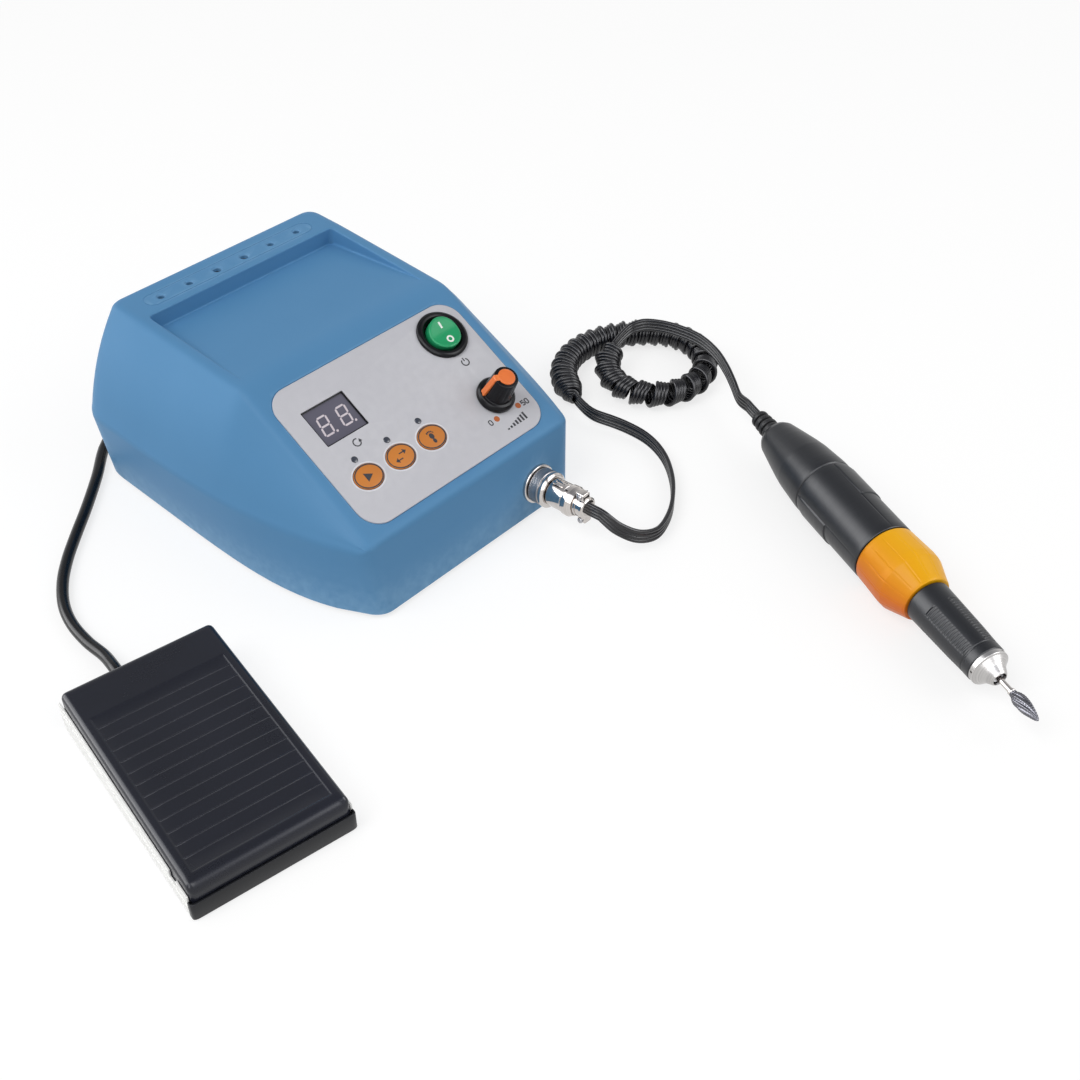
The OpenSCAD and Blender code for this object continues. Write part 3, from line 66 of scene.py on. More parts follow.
def panel(x, down, high=0):
    """A place on the sloping panel: across, down the slope from its bend, and above it."""
    return SLOPE @ set_at(x, -down, high)


def rear(x, z):
    """A place on the rear wall, looking out of it."""
    return set_at(x, REAR_WALL_Y, z) @ spun("X", -90)


# ---------------------------------------------------------------- shapes: (points, faces)

def joined(*shapes):
    points, faces = [], []
    for some_points, some_faces in shapes:
        start = len(points)
        points += [Vector(p) for p in some_points]
        faces += [tuple(start + i for i in face) for face in some_faces]
    return points, faces


def moved(shape, at):
    return [at @ Vector(p) for p in shape[0]], shape[1]


def reshaped(shape, change):
    return [change(Vector(p)) for p in shape[0]], shape[1]


def bridged(a, b):
    """Faces between two rings of point numbers; a ring of one point is a pole."""
    if len(a) == 1:
        return [(a[0], b[i], b[(i + 1) % len(b)]) for i in range(len(b))]
    if len(b) == 1:
        return [(a[i], b[0], a[(i + 1) % len(a)]) for i in range(len(a))]
    n = len(a)
    return [(a[i], a[(i + 1) % n], b[(i + 1) % n], b[i]) for i in range(n)]


def lofted(rings, closed=False):
    """A skin over rings with as many points each, with flat ends unless it closes on itself."""
    n = len(rings[0])
    points = [Vector(p) for ring in rings for p in ring]
    numbers = [list(range(k * n, k * n + n)) for k in range(len(rings))]
    faces = []
    for a, b in zip(numbers, numbers[1:]):
        faces += bridged(a, b)
    if closed:
        faces += bridged(numbers[-1], numbers[0])
    else:
        faces += [tuple(reversed(numbers[0])), tuple(numbers[-1])]
    return points, faces


def turned(profile, steps=64, relief=None):
    """A turned body about Z from (radius, height) points; relief(r, z, angle) gives another radius."""
    points, rings = [], []
    for r, z in profile:
        start = len(points)
        if r < 1e-6:
            points.append(Vector((0, 0, z)))
            rings.append([start])
            continue
        for i in range(steps):
            a = math.tau * i / steps
            s = relief(r, z, a) if relief else r
            points.append(Vector((s * math.cos(a), s * math.sin(a), z)))
        rings.append(list(range(start, start + steps)))
    faces = []
    for a, b in zip(rings, rings[1:]):
        faces += bridged(a, b)
    if len(rings[0]) > 1 and len(rings[-1]) > 1:
        faces += bridged(rings[-1], rings[0])
    return points, faces


def eased(corners, closed=False, steps=4):
    """A line through corners; a third number rounds that corner."""
    out, n = [], len(corners)
    for i, corner in enumerate(corners):
        here = Vector(corner[:2])
        radius = corner[2] if len(corner) > 2 else 0
        if radius == 0 or (not closed and i in (0, n - 1)):
            out.append((here.x, here.y))
            continue
        back = Vector(corners[i - 1][:2]) - here
        on = Vector(corners[(i + 1) % n][:2]) - here
        reach = radius / math.tan(max(back.angle(on), 0.05) / 2)
        a = here + back.normalized() * min(reach, 0.49 * back.length)
        b = here + on.normalized() * min(reach, 0.49 * on.length)
        for k in range(steps + 1):
            t = k / steps
            p = a * (1 - t) ** 2 + here * 2 * t * (1 - t) + b * t * t
            out.append((p.x, p.y))
    return out


def resampled(profile, step):
    """The same line with points no further apart than a step."""
    out = [profile[0]]
    for a, b in zip(profile, profile[1:]):
        n = max(1, math.ceil(math.dist(a, b) / step))
        out += [(a[0] + (b[0] - a[0]) * k / n, a[1] + (b[1] - a[1]) * k / n) for k in range(1, n + 1)]
    return out


def rounded(w, l, r, steps=7):
    out = []
    for q, (sx, sy) in enumerate([(1, 1), (-1, 1), (-1, -1), (1, -1)]):
        for i in range(steps + 1):
            a = math.pi / 2 * (q + i / steps)
            out.append((sx * (w / 2 - r) + r * math.cos(a), sy * (l / 2 - r) + r * math.sin(a)))
    return out


def oval(w, h, steps=56):
    return [(w / 2 * math.cos(math.tau * i / steps), h / 2 * math.sin(math.tau * i / steps))
            for i in range(steps)]


def inset(outline, by):
    """A counter-clockwise outline moved inwards."""
    if by == 0:
        return outline
    out, n = [], len(outline)
    for i in range(n):
        p = Vector(outline[i])
        a = (p - Vector(outline[i - 1])).normalized()
        b = (Vector(outline[(i + 1) % n]) - p).normalized()
        side = Vector((-a.y - b.y, a.x + b.x))
        p = p + side * (by / max(0.4, 1 + a.dot(b)))
        out.append((p.x, p.y))
    return out


def slab(outline, low, high, edge=0.3, under=0.0, steps=3):
    """A plate with its upper and lower edges rounded."""
    levels = []
    for k in range(steps + 1 if under else 1):
        a = math.pi / 2 * k / steps
        levels.append((under * (1 - math.sin(a)), low + under * (1 - math.cos(a))))
    for k in range(steps + 1 if edge else 1):
        a = math.pi / 2 * k / steps
        levels.append((edge * (1 - math.cos(a)), high - edge * (1 - math.sin(a))))
    return lofted([[(x, y, z) for x, y in inset(outline, d)] for d, z in levels])


def stroke(line, width, low, high, closed=False):
    """A printed line of even width on a flat face."""
    rings, n = [], len(line)
    for i in range(n):
        p = Vector(line[i])
        a = p - Vector(line[i - 1]) if closed or i else Vector(line[1]) - p
        b = Vector(line[(i + 1) % n]) - p if closed or i < n - 1 else a
        a, b = a.normalized(), b.normalized()
        side = Vector((-a.y - b.y, a.x + b.x)) * (width / 2 / max(0.3, 1 + a.dot(b)))
        left, right = p + side, p - side
        rings.append([(left.x, left.y, low), (left.x, left.y, high),
                      (right.x, right.y, high), (right.x, right.y, low)])
    return lofted(rings, closed)


def arc(r, start, end, steps=24, x=0.0, y=0.0):
    angles = [math.radians(start + (end - start) * k / steps) for k in range(steps + 1)]
    return [(x + r * math.cos(a), y + r * math.sin(a)) for a in angles]


def rod(r, low, high, steps=32, edge=0.0):
    if not edge:
        return turned([(0, low), (r, low), (r, high), (0, high)], steps)
    return turned([(0, low)] + eased([(0, low), (r, low, edge), (r, high, edge), (0, high)])[1:-1]
                  + [(0, high)], steps)


def scratch(shape):
    mesh = bpy.data.meshes.new("scratch")
    mesh.from_pydata([tuple(p) for p in shape[0]], [], shape[1])
    bm = bmesh.new()
    bm.from_mesh(mesh)
    bmesh.ops.recalc_face_normals(bm, faces=bm.faces)
    bm.to_mesh(mesh)
    bm.free()
    thing = bpy.data.objects.new("scratch", mesh)
    bpy.context.scene.collection.objects.link(thing)
    return thing


def carved(shape, *tools):
    """The shape with the tools cut out of it."""
    body, cutter = scratch(shape), scratch(joined(*tools))
    cut = body.modifiers.new("cut", "BOOLEAN")
    cut.operation, cut.solver, cut.object = "DIFFERENCE", "EXACT", cutter
    cut.use_self = True
    seen = body.evaluated_get(bpy.context.evaluated_depsgraph_get())
    mesh = bpy.data.meshes.new_from_object(seen)
    out = [v.co.copy() for v in mesh.vertices], [tuple(f.vertices) for f in mesh.polygons]
    for thing in (body, cutter):
        bpy.data.objects.remove(thing)
    return out


def piece(name, shape, look, at=HERE, body="unit", stands_for=(), crisp=32):
    """One piece of the object, riding on its body; its own mm places are kept for its finish."""
    mesh = bpy.data.meshes.new(name)
    mesh.from_pydata([tuple(p) for p in shape[0]], [], shape[1])
    bm = bmesh.new()
    bm.from_mesh(mesh)
    bmesh.ops.remove_doubles(bm, verts=bm.verts, dist=1e-4)
    bmesh.ops.recalc_face_normals(bm, faces=bm.faces)
    bm.to_mesh(mesh)
    bm.free()
    own = mesh.attributes.new("own_place", "FLOAT_VECTOR", "POINT")
    own.data.foreach_set("vector", [c for v in mesh.vertices for c in v.co])
    mesh.transform(BOX @ at)
    mesh.materials.append(look)
    mesh.shade_smooth()
    mesh.set_sharp_from_angle(angle=math.radians(crisp))
    thing = bpy.data.objects.new(name, mesh)
    bpy.context.scene.collection.objects.link(thing)
    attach(thing, body)
    if stands_for:
        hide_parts(*([stands_for] if isinstance(stands_for, str) else stands_for))
    return thing


# ---------------------------------------------------------------- finishes

def paint(code):
    """A colour written as it should look."""
    parts = [int(code[i:i + 2], 16) / 255 for i in (1, 3, 5)]
    return tuple(c / 12.92 if c <= 0.04045 else ((c + 0.055) / 1.055) ** 2.4 for c in parts) + (1,)


def add(tree, kind, links=None, **settings):
    node = tree.nodes.new("ShaderNode" + kind)
    for key, value in settings.items():
        setattr(node, key, value)
    for socket, value in (links or {}).items():
        if isinstance(value, bpy.types.NodeSocket):
            tree.links.new(value, node.inputs[socket])
        else:
            node.inputs[socket].default_value = value
    return node


def figure(tree, operation, a, b=0.0):
    return add(tree, "Math", {0: a, 1: b}, operation=operation).outputs[0]


def ranged(tree, value, low, high, to_low=0.0, to_high=1.0):
    return add(tree, "MapRange", {0: value, 1: low, 2: high, 3: to_low, 4: to_high}).outputs[0]


def mixed(tree, factor, a, b):
    return add(tree, "Mix", {0: factor, 6: a, 7: b}, data_type="RGBA").outputs[2]


def effect(name, inputs, outputs):
    """A shared effect with named sockets."""
    tree = bpy.data.node_groups.new(name, "ShaderNodeTree")
    for label, value in inputs.items():
        kind = "NodeSocketColor" if isinstance(value, tuple) else "NodeSocketFloat"
        tree.interface.new_socket(label, in_out="INPUT", socket_type=kind).default_value = value
    for label in outputs:
        kind = "NodeSocketColor" if label == "Color" else "NodeSocketFloat"
        tree.interface.new_socket(label, in_out="OUTPUT", socket_type=kind)
    entry = tree.nodes.new("NodeGroupInput")
    close = tree.nodes.new("NodeGroupOutput")
    return tree, entry.outputs, close.inputs


def make_moulded():
    """Moulded plastic: slow tone changes, a fine grain and a roughness that follows both."""
    tree, given, out = effect("moulded_grain", {
        "Color": (0.5, 0.5, 0.5, 1), "Shade": (0.4, 0.4, 0.4, 1), "Patch Scale": 20.0,
        "Grain Scale": 1500.0, "Rough Low": 0.35, "Rough High": 0.5}, ["Color", "Roughness", "Height"])
    place = add(tree, "TexCoord").outputs["Object"]
    patch = add(tree, "TexNoise", {"Vector": place, "Scale": given["Patch Scale"], "Detail": 4.0})
    grain = add(tree, "TexNoise", {"Vector": place, "Scale": given["Grain Scale"], "Detail": 2.0})
    tone = ranged(tree, patch.outputs[0], 0.35, 0.7)
    both = figure(tree, "ADD", figure(tree, "MULTIPLY", tone, 0.6),
                  figure(tree, "MULTIPLY", grain.outputs[0], 0.4))
    span = figure(tree, "SUBTRACT", given["Rough High"], given["Rough Low"])
    rough = figure(tree, "ADD", given["Rough Low"], figure(tree, "MULTIPLY", both, span))
    tree.links.new(mixed(tree, tone, given["Color"], given["Shade"]), out["Color"])
    tree.links.new(rough, out["Roughness"])
    tree.links.new(grain.outputs[0], out["Height"])
    return tree


def make_wear_and_edge_highlight():
    """Worn edges with a painted highlight: a paler colour on the sharp outer edges, broken up by noise,
    standing in for both rubbing and the light that the edges catch.
    """
    tree, given, out = effect("wear_and_edge_highlight", {
        "Color": (0.5, 0.5, 0.5, 1), "Worn And Lit Edge": (0.8, 0.8, 0.8, 1), "Amount": 0.4}, ["Color"])
    sharp = add(tree, "NewGeometry").outputs["Pointiness"]
    place = add(tree, "TexCoord").outputs["Object"]
    edge_noise = add(tree, "TexNoise", {"Vector": place, "Scale": 260.0, "Detail": 3.0}).outputs[0]
    edge = ranged(tree, sharp, 0.515, 0.6)
    mask = figure(tree, "MULTIPLY", figure(tree, "MULTIPLY", edge, edge_noise), given["Amount"])
    tree.links.new(mixed(tree, mask, given["Color"], given["Worn And Lit Edge"]), out["Color"])
    return tree


def make_turning():
    """Turned metal or plastic: fine lines round the piece's own axis."""
    tree, given, out = effect("turning_lines", {
        "Color": (0.7, 0.7, 0.7, 1), "Shade": (0.5, 0.5, 0.5, 1), "Line Scale": 3.0,
        "Rough Low": 0.1, "Rough High": 0.3}, ["Color", "Roughness", "Height"])
    own = add(tree, "Attribute", attribute_name="own_place").outputs["Vector"]
    part = add(tree, "SeparateXYZ", {0: own}).outputs
    flat = add(tree, "CombineXYZ", {0: part[0], 1: part[1], 2: 0.0}).outputs[0]
    away = add(tree, "VectorMath", {0: flat}, operation="LENGTH").outputs["Value"]
    line = add(tree, "CombineXYZ", {0: away, 1: 0.0, 2: part[2]}).outputs[0]
    fine = add(tree, "TexNoise", {"Vector": line, "Scale": given["Line Scale"], "Detail": 5.0}).outputs[0]
    smear = add(tree, "TexNoise", {"Vector": own, "Scale": 0.25, "Detail": 3.0}).outputs[0]
    tone = ranged(tree, fine, 0.35, 0.7)
    span = figure(tree, "SUBTRACT", given["Rough High"], given["Rough Low"])
    rough = figure(tree, "ADD", given["Rough Low"], figure(tree, "MULTIPLY", span,
                   figure(tree, "MULTIPLY", figure(tree, "ADD", tone, smear), 0.5)))
    tree.links.new(mixed(tree, tone, given["Color"], given["Shade"]), out["Color"])
    tree.links.new(rough, out["Roughness"])
    tree.links.new(fine, out["Height"])
    return tree


def make_painted_lit_side():
    """Painted light on a round piece: a paler tone on the side that faces one way, running softly into the
    first, standing in for light falling on that side.
    """
    tree, given, out = effect("painted_lit_side", {
        "Color": (0.5, 0.5, 0.5, 1), "Lit Side": (0.8, 0.8, 0.8, 1), "Way X": 1.0, "Way Y": 0.0}, ["Color"])
    own = add(tree, "Attribute", attribute_name="own_place").outputs["Vector"]
    part = add(tree, "SeparateXYZ", {0: own}).outputs
    flat = add(tree, "CombineXYZ", {0: part[0], 1: part[1], 2: 0.0}).outputs[0]
    outward = add(tree, "VectorMath", {0: flat}, operation="NORMALIZE").outputs[0]
    way = add(tree, "CombineXYZ", {0: given["Way X"], 1: given["Way Y"], 2: 0.0}).outputs[0]
    facing = add(tree, "VectorMath", {0: outward, 1: way}, operation="DOT_PRODUCT").outputs["Value"]
    tree.links.new(mixed(tree, ranged(tree, facing, -0.6, 0.9), given["Color"], given["Lit Side"]), out["Color"])
    return tree


MOULDED, WEAR_AND_EDGE_HIGHLIGHT, TURNING, PAINTED_LIT_SIDE = make_moulded(), make_wear_and_edge_highlight(), make_turning(), make_painted_lit_side()


def new_look(name, sockets):
    look = bpy.data.materials.new(name)
    look.use_nodes = True
    shader = look.node_tree.nodes["Principled BSDF"]
    for label, value in sockets.items():
        shader.inputs[label].default_value = value
    return look, look.node_tree, shader


def bumped(tree, shader, height, strength, distance):
    bump = add(tree, "Bump", {"Height": height, "Strength": strength, "Distance": distance})
    tree.links.new(bump.outputs[0], shader.inputs["Normal"])


def grouped(tree, group, links, values):
    """A shared effect put into a material."""
    node = tree.nodes.new("ShaderNodeGroup")
    node.node_tree = group
    for label, value in links.items():
        tree.links.new(value, node.inputs[label])
    for label, value in values.items():
        node.inputs[label].default_value = value
    return node.outputs


def moulded(name, color, shade, rough=(0.35, 0.5), patch=20.0, grain=1500.0, bump=0.15, worn_and_lit_edge=None,
            amount=0.4, lit_side_paint=None, **sockets):
    """A moulded plastic, rubber or painted finish."""
    look, tree, shader = new_look(name, {k.replace("_", " "): v for k, v in sockets.items()})
    body = grouped(tree, MOULDED, {}, {
        "Color": paint(color), "Shade": paint(shade), "Patch Scale": patch, "Grain Scale": grain,
        "Rough Low": rough[0], "Rough High": rough[1]})
    tone = body["Color"]
    # A paler colour on one side of a round piece: painted light falling from that side.
    if lit_side_paint:
        code, angle = lit_side_paint
        tone = grouped(tree, PAINTED_LIT_SIDE, {"Color": tone}, {
            "Lit Side": paint(code), "Way X": math.cos(math.radians(angle)),
            "Way Y": math.sin(math.radians(angle))})["Color"]
    # A paler colour on sharp edges: partly wear, partly a painted highlight along the edges.
    if worn_and_lit_edge:
        tone = grouped(tree, WEAR_AND_EDGE_HIGHLIGHT, {"Color": tone}, {"Worn And Lit Edge": paint(worn_and_lit_edge), "Amount": amount})["Color"]
    tree.links.new(tone, shader.inputs["Base Color"])
    tree.links.new(body["Roughness"], shader.inputs["Roughness"])
    bumped(tree, shader, body["Height"], bump, 0.0002)
    return look


def turned_finish(name, color, shade, rough=(0.1, 0.25), lines=3.0, bump=0.05, **sockets):
    """A finish with fine lines round the axis of the piece."""
    look, tree, shader = new_look(name, {k.replace("_", " "): v for k, v in sockets.items()})
    body = grouped(tree, TURNING, {}, {
        "Color": paint(color), "Shade": paint(shade), "Line Scale": lines, "Rough Low": rough[0],
        "Rough High": rough[1]})
    tree.links.new(body["Color"], shader.inputs["Base Color"])
    tree.links.new(body["Roughness"], shader.inputs["Roughness"])
    bumped(tree, shader, body["Height"], bump, 0.0001)
    return look


# The edge colours below are partly wear and partly painted highlight on the sharp edges; on the shell and the
# panel film they are mostly painted highlight.
SHELL_BLUE = moulded("satin_blue_shell", "#5A8EB9", "#5488B3", (0.4, 0.52), 9.0, 1300.0, 0.1,
                     worn_and_lit_edge="#9CC4E2", amount=0.7, Specular_IOR_Level=0.15)
SHEET_GREY = moulded("printed_grey_film", "#C3C3C9", "#BDBDC4", (0.42, 0.55), 14.0, 2600.0, 0.08,
                     worn_and_lit_edge="#E4E4E8", amount=0.6)
INK = moulded("dark_print", "#26262B", "#2E2E34", (0.5, 0.6), 90.0, 2500.0, 0.05)
ORANGE_INK = moulded("orange_print", "#B8612A", "#AC5823", (0.45, 0.55), 90.0, 2500.0, 0.05)
WHITE_INK = moulded("white_print", "#F1F5F0", "#E2ECE4", (0.4, 0.5), 90.0, 2500.0, 0.05)
KEY_ORANGE = moulded("key_film", "#CF7E2D", "#C47526", (0.38, 0.5), 60.0, 2400.0, 0.06,
                     worn_and_lit_edge="#E09A52", amount=0.4)
BLACK_PLASTIC = moulded("black_moulding", "#16171B", "#111215", (0.3, 0.42), 30.0, 1700.0, 0.1,
                        worn_and_lit_edge="#33343C", amount=0.4, Specular_IOR_Level=0.3)
TREADLE_BLACK = moulded("treadle_moulding", "#1F212B", "#191B24", (0.2, 0.3), 26.0, 1900.0, 0.04,
                        worn_and_lit_edge="#3E404C", amount=0.3, Specular_IOR_Level=0.36)
GLOSS_BLACK = moulded("gloss_black_moulding", "#131316", "#0E0E11", (0.18, 0.28), 40.0, 1500.0, 0.04,
                      worn_and_lit_edge="#2C2B31", amount=0.3, Specular_IOR_Level=0.18)
RUBBER = moulded("black_rubber", "#141416", "#0F0F11", (0.44, 0.6), 45.0, 1100.0, 0.15,
                 worn_and_lit_edge="#303035", amount=0.4)
CORD_BLACK = moulded("ribbon_sleeve", "#131318", "#0D0D11", (0.22, 0.34), 60.0, 1400.0, 0.05,
                     worn_and_lit_edge="#35343C", amount=0.3)
LEAD_BLACK = moulded("round_sleeve", "#0E0E12", "#09090C", (0.2, 0.32), 50.0, 1400.0, 0.06,
                     worn_and_lit_edge="#2C2C33", amount=0.2, Specular_IOR_Level=0.3)
ORANGE_PLASTIC = moulded("orange_cap", "#F07C36", "#E8722D", (0.28, 0.4), 60.0, 1600.0, 0.06,
                         worn_and_lit_edge="#FF9A55", amount=0.6)
# Painted light: the chuck ring turns yellow on the side facing one way, where light falls on it.
CHUCK_ORANGE = moulded("chuck_orange", "#E4741B", "#DC6C15", (0.3, 0.42), 40.0, 1500.0, 0.05,
                       worn_and_lit_edge="#FFB24E", amount=0.3, lit_side_paint=("#F6B20A", 155), Specular_IOR_Level=0.25)
GREEN_ROCKER = moulded("green_rocker", "#1FA067", "#1A955E", (0.26, 0.38), 70.0, 900.0, 0.03,
                       worn_and_lit_edge="#7FD0A8", amount=0.4, Specular_IOR_Level=0.3)
DISPLAY_FACE = moulded("display_window", "#62606F", "#5A5867", (0.12, 0.22), 50.0, 900.0, 0.02,
                       Coat_Weight=0.4, Coat_Roughness=0.05)
SEGMENT = moulded("unlit_segment", "#D9D0D6", "#CFC5CC", (0.3, 0.4), 90.0, 2000.0, 0.03)
LAMP = moulded("lamp_lens", "#3A3F4C", "#313642", (0.1, 0.2), 120.0, 900.0, 0.02, Coat_Weight=0.5,
               Coat_Roughness=0.05)
NICKEL = turned_finish("bright_nickel", "#D0CBC7", "#BBB5B1", (0.04, 0.14), 2.2, 0.02, Metallic=1.0)
SATIN_NICKEL = turned_finish("satin_nickel", "#C4C2C0", "#A9A7A6", (0.26, 0.38), 2.6, 0.06, Metallic=1.0)
MATTE_NICKEL = turned_finish("knurled_nickel", "#B4B2B2", "#8E8C8D", (0.28, 0.42), 4.0, 0.1, Metallic=1.0)
SATIN_BLACK = turned_finish("satin_black_case", "#191B20", "#13151A", (0.32, 0.44), 1.6, 0.04)
BUR_STEEL = turned_finish("ground_carbide", "#7E7E84", "#4C4C52", (0.2, 0.34), 5.0, 0.08, Metallic=1.0)
STEEL = moulded("plain_steel", "#B9B9BC", "#9D9DA1", (0.25, 0.42), 60.0, 1800.0, 0.08, Metallic=1.0)
RAIL = moulded("pale_rail", "#FCFCFA", "#F6F6F3", (0.4, 0.52), 30.0, 2200.0, 0.015, worn_and_lit_edge="#FFFFFF",
               amount=0.3)
BOARD_GREEN = moulded("circuit_board", "#2F6B45", "#27593A", (0.4, 0.55), 120.0, 1800.0, 0.1)
IRON = moulded("iron_core", "#6B6763", "#57534F", (0.4, 0.55), 80.0, 900.0, 0.25, Metallic=0.8)
COPPER = moulded("copper_winding", "#B06A3C", "#93532B", (0.3, 0.45), 200.0, 1500.0, 0.3, Metallic=0.9)
# Painted sheen, used for the pale ring round each key.
PAINTED_SHEEN = moulded("painted_sheen", "#E2E2E6", "#DADADF", (0.4, 0.5), 90.0, 2500.0, 0.05)
CARBON = moulded("carbon_brush", "#2A2A2C", "#222224", (0.5, 0.65), 120.0, 1500.0, 0.2)


# ---------------------------------------------------------------- camera, light, floor

CAMERA_AT, CAMERA_WAY = (-313.7, -409.6, 414.7), (0.5435, 0.5068, -0.669)
LENS, SENSOR = 47.9, 36


def make_camera():
    data = bpy.data.cameras.new("camera")
    data.lens, data.sensor_width = LENS, SENSOR
    data.clip_start, data.clip_end = 0.01, 30
    ahead = Vector(CAMERA_WAY).normalized()
    across = ahead.cross(Vector((0, 0, 1))).normalized()
    up = across.cross(ahead)
    spot = BOX @ Vector(CAMERA_AT)
    camera = bpy.data.objects.new("camera", data)
    camera.matrix_world = Matrix((
        (across.x, up.x, -ahead.x, spot.x), (across.y, up.y, -ahead.y, spot.y),
        (across.z, up.z, -ahead.z, spot.z), (0, 0, 0, 1)))
    bpy.context.scene.collection.objects.link(camera)
    bpy.context.scene.camera = camera


def make_lamp(name, spot, size, power):
    data = bpy.data.lights.new(name, "AREA")
    data.shape, data.size, data.energy = "DISK", size, power
    lamp = bpy.data.objects.new(name, data)
    lamp.location = spot
    lamp.rotation_mode = "QUATERNION"
    lamp.rotation_quaternion = (-Vector(spot)).to_track_quat("-Z", "Y")
    bpy.context.scene.collection.objects.link(lamp)


def seen_directly(tree):
    """1 for rays that show the background: from the camera, a mirror or glass."""
    path = add(tree, "LightPath").outputs
    seen = figure(tree, "MAXIMUM", path["Is Camera Ray"], path["Is Glossy Ray"])
    return figure(tree, "MAXIMUM", seen, path["Is Transmission Ray"])


# Soft panels that show only as reflections: the way to each, how narrow it is, how bright
SOFT_PANELS = [((-0.54, -0.51, 0.67), 0.86, 5.0), ((-0.56, 0.7, 0.45), 0.88, 6.5),
               ((0.4, -0.72, 0.58), 0.92, 7.0)]
PANEL_EDGE = 0.06


def make_world():
    world = bpy.data.worlds.new("soft_room")
    world.use_nodes = True
    bpy.context.scene.world = world
    tree = world.node_tree
    tree.nodes.clear()
    way = add(tree, "TexCoord").outputs["Generated"]
    high = add(tree, "SeparateXYZ", {0: way}).outputs[2]
    shown = add(tree, "ValToRGB", {0: ranged(tree, high, 0.1, 1.0)})
    shown.color_ramp.elements[0].color = (1, 1, 1, 1)
    shown.color_ramp.elements[1].color = (0.3, 0.31, 0.34, 1)
    level = 0.0
    for toward, narrow, bright in SOFT_PANELS:
        facing = add(tree, "VectorMath", {0: way, 1: Vector(toward).normalized()}, operation="DOT_PRODUCT")
        glow = ranged(tree, facing.outputs["Value"], narrow, narrow + PANEL_EDGE, 0.0, bright)
        level = figure(tree, "ADD", glow, level)
    mirrored = figure(tree, "MULTIPLY", level, add(tree, "LightPath").outputs["Is Glossy Ray"])
    soft = add(tree, "Background", {"Color": (1, 1, 1, 1), "Strength": 0.5})
    bright = figure(tree, "ADD", mirrored, 1.0)
    white = add(tree, "Background", {"Color": shown.outputs[0], "Strength": bright})
    both = add(tree, "MixShader", {0: seen_directly(tree), 1: soft.outputs[0], 2: white.outputs[0]})
    add(tree, "OutputWorld", {0: both.outputs[0]})


def make_floor():
    mesh = bpy.data.meshes.new("floor")
    half, low = 4.0, -0.0002
    mesh.from_pydata([(-half, -half, low), (half, -half, low), (half, half, low), (-half, half, low)],
                     [], [(0, 1, 2, 3)])
    look = bpy.data.materials.new("white_floor")
    look.use_nodes = True
    tree = look.node_tree
    tree.nodes.clear()
    plain = add(tree, "BsdfDiffuse", {"Color": (0.8, 0.8, 0.8, 1)})
    shade = add(tree, "BsdfDiffuse", {"Color": (0.3, 0.3, 0.3, 1)})
    glow = add(tree, "Emission", {"Color": (1, 1, 1, 1), "Strength": 0.74})
    white = add(tree, "AddShader", {0: shade.outputs[0], 1: glow.outputs[0]})
    both = add(tree, "MixShader", {0: seen_directly(tree), 1: plain.outputs[0], 2: white.outputs[0]})
    add(tree, "OutputMaterial", {0: both.outputs[0]})
    mesh.materials.append(look)
    floor = bpy.data.objects.new("floor", mesh)
    bpy.context.scene.collection.objects.link(floor)


make_camera()
bpy.context.scene.view_settings.view_transform = "Standard"
make_world()
make_lamp("key_lamp", (-0.9, 0.15, 1.3), 1.1, 11)
make_lamp("fill_lamp", (0.9, -0.9, 1.0), 1.2, 4)
make_floor()


# ---------------------------------------------------------------- cords

RIBBON_W, RIBBON_T, CORD_D = 6.8, 1.9, 5.0
CURL_MIDDLE, CURLS, CURL_R = Vector((152.5, -52.5, 0)), 32, 4.9
# The sine of a curl's lean is this length over the gap to the next curl
CURL_LAP = 2.2
# Put-away coil of the pedal cord: centre, height, outer radius, gap between turns, turns
COIL_X, COIL_Y, COIL_Z, COIL_R, COIL_STEP, COIL_TURNS = 38, 126, 4.1, 36, 5.6, 5.75
# How far apart the curls lie, by the share of the curly part's length
CURL_STEPS = [(0, 5.6), (0.22, 5.6), (0.32, 6.4), (0.5, 6.6), (0.6, 8.8), (0.8, 8.8), (0.9, 7.0), (1.01, 7.0)]
# Middle line of the curly part: angle, distance and height about its centre
CURL_POLAR = [(178, 52, 7.1), (171, 50.4, 7.1), (160, 48.6, 7.1), (145, 46.2, 7.1), (130, 42.2, 7.1),
              (115, 37.4, 7.1), (98, 32.4, 7.1), (78, 28, 7.1), (55, 25.4, 7.1), (25, 24.4, 7.1),
              (-5, 24.2, 7.1),
              (-35, 24.2, 7.1), (-65, 24.8, 7.1), (-95, 25.6, 7.1), (-122, 27, 7.1), (-148, 28, 7.1),
              (-172, 28, 7.3), (-195, 26.6, 8.1), (-213, 24.4, 9.5), (-230, 22.2, 11.1), (-247, 20.6, 12.5),
              (-258, 20, 13.2)]


def curve_at(route, i, t):
    a, b = route[max(i - 1, 0)], route[i]
    c, d = route[i + 1], route[min(i + 2, len(route) - 1)]
    return 0.5 * (2 * b + (c - a) * t + (2 * a - 5 * b + 4 * c - d) * t * t
                  + (3 * b - a - 3 * c + d) * t ** 3)


def smooth(route, n):
    """A smooth line through a route; its first and last stretch stay straight."""
    route = [Vector(p) for p in route]
    eases = [curve_at(route, i, j / n) for i in range(1, len(route) - 2) for j in range(n)]
    lead = [route[0].lerp(route[1], j / 3) for j in range(3)]
    return lead + eases + [route[-2], route[-1]]


def heading(line, k):
    return (line[min(k + 1, len(line) - 1)] - line[max(k - 1, 0)]).normalized()


def level_side(way):
    return way.cross(Vector((0, 0, 1))).normalized()


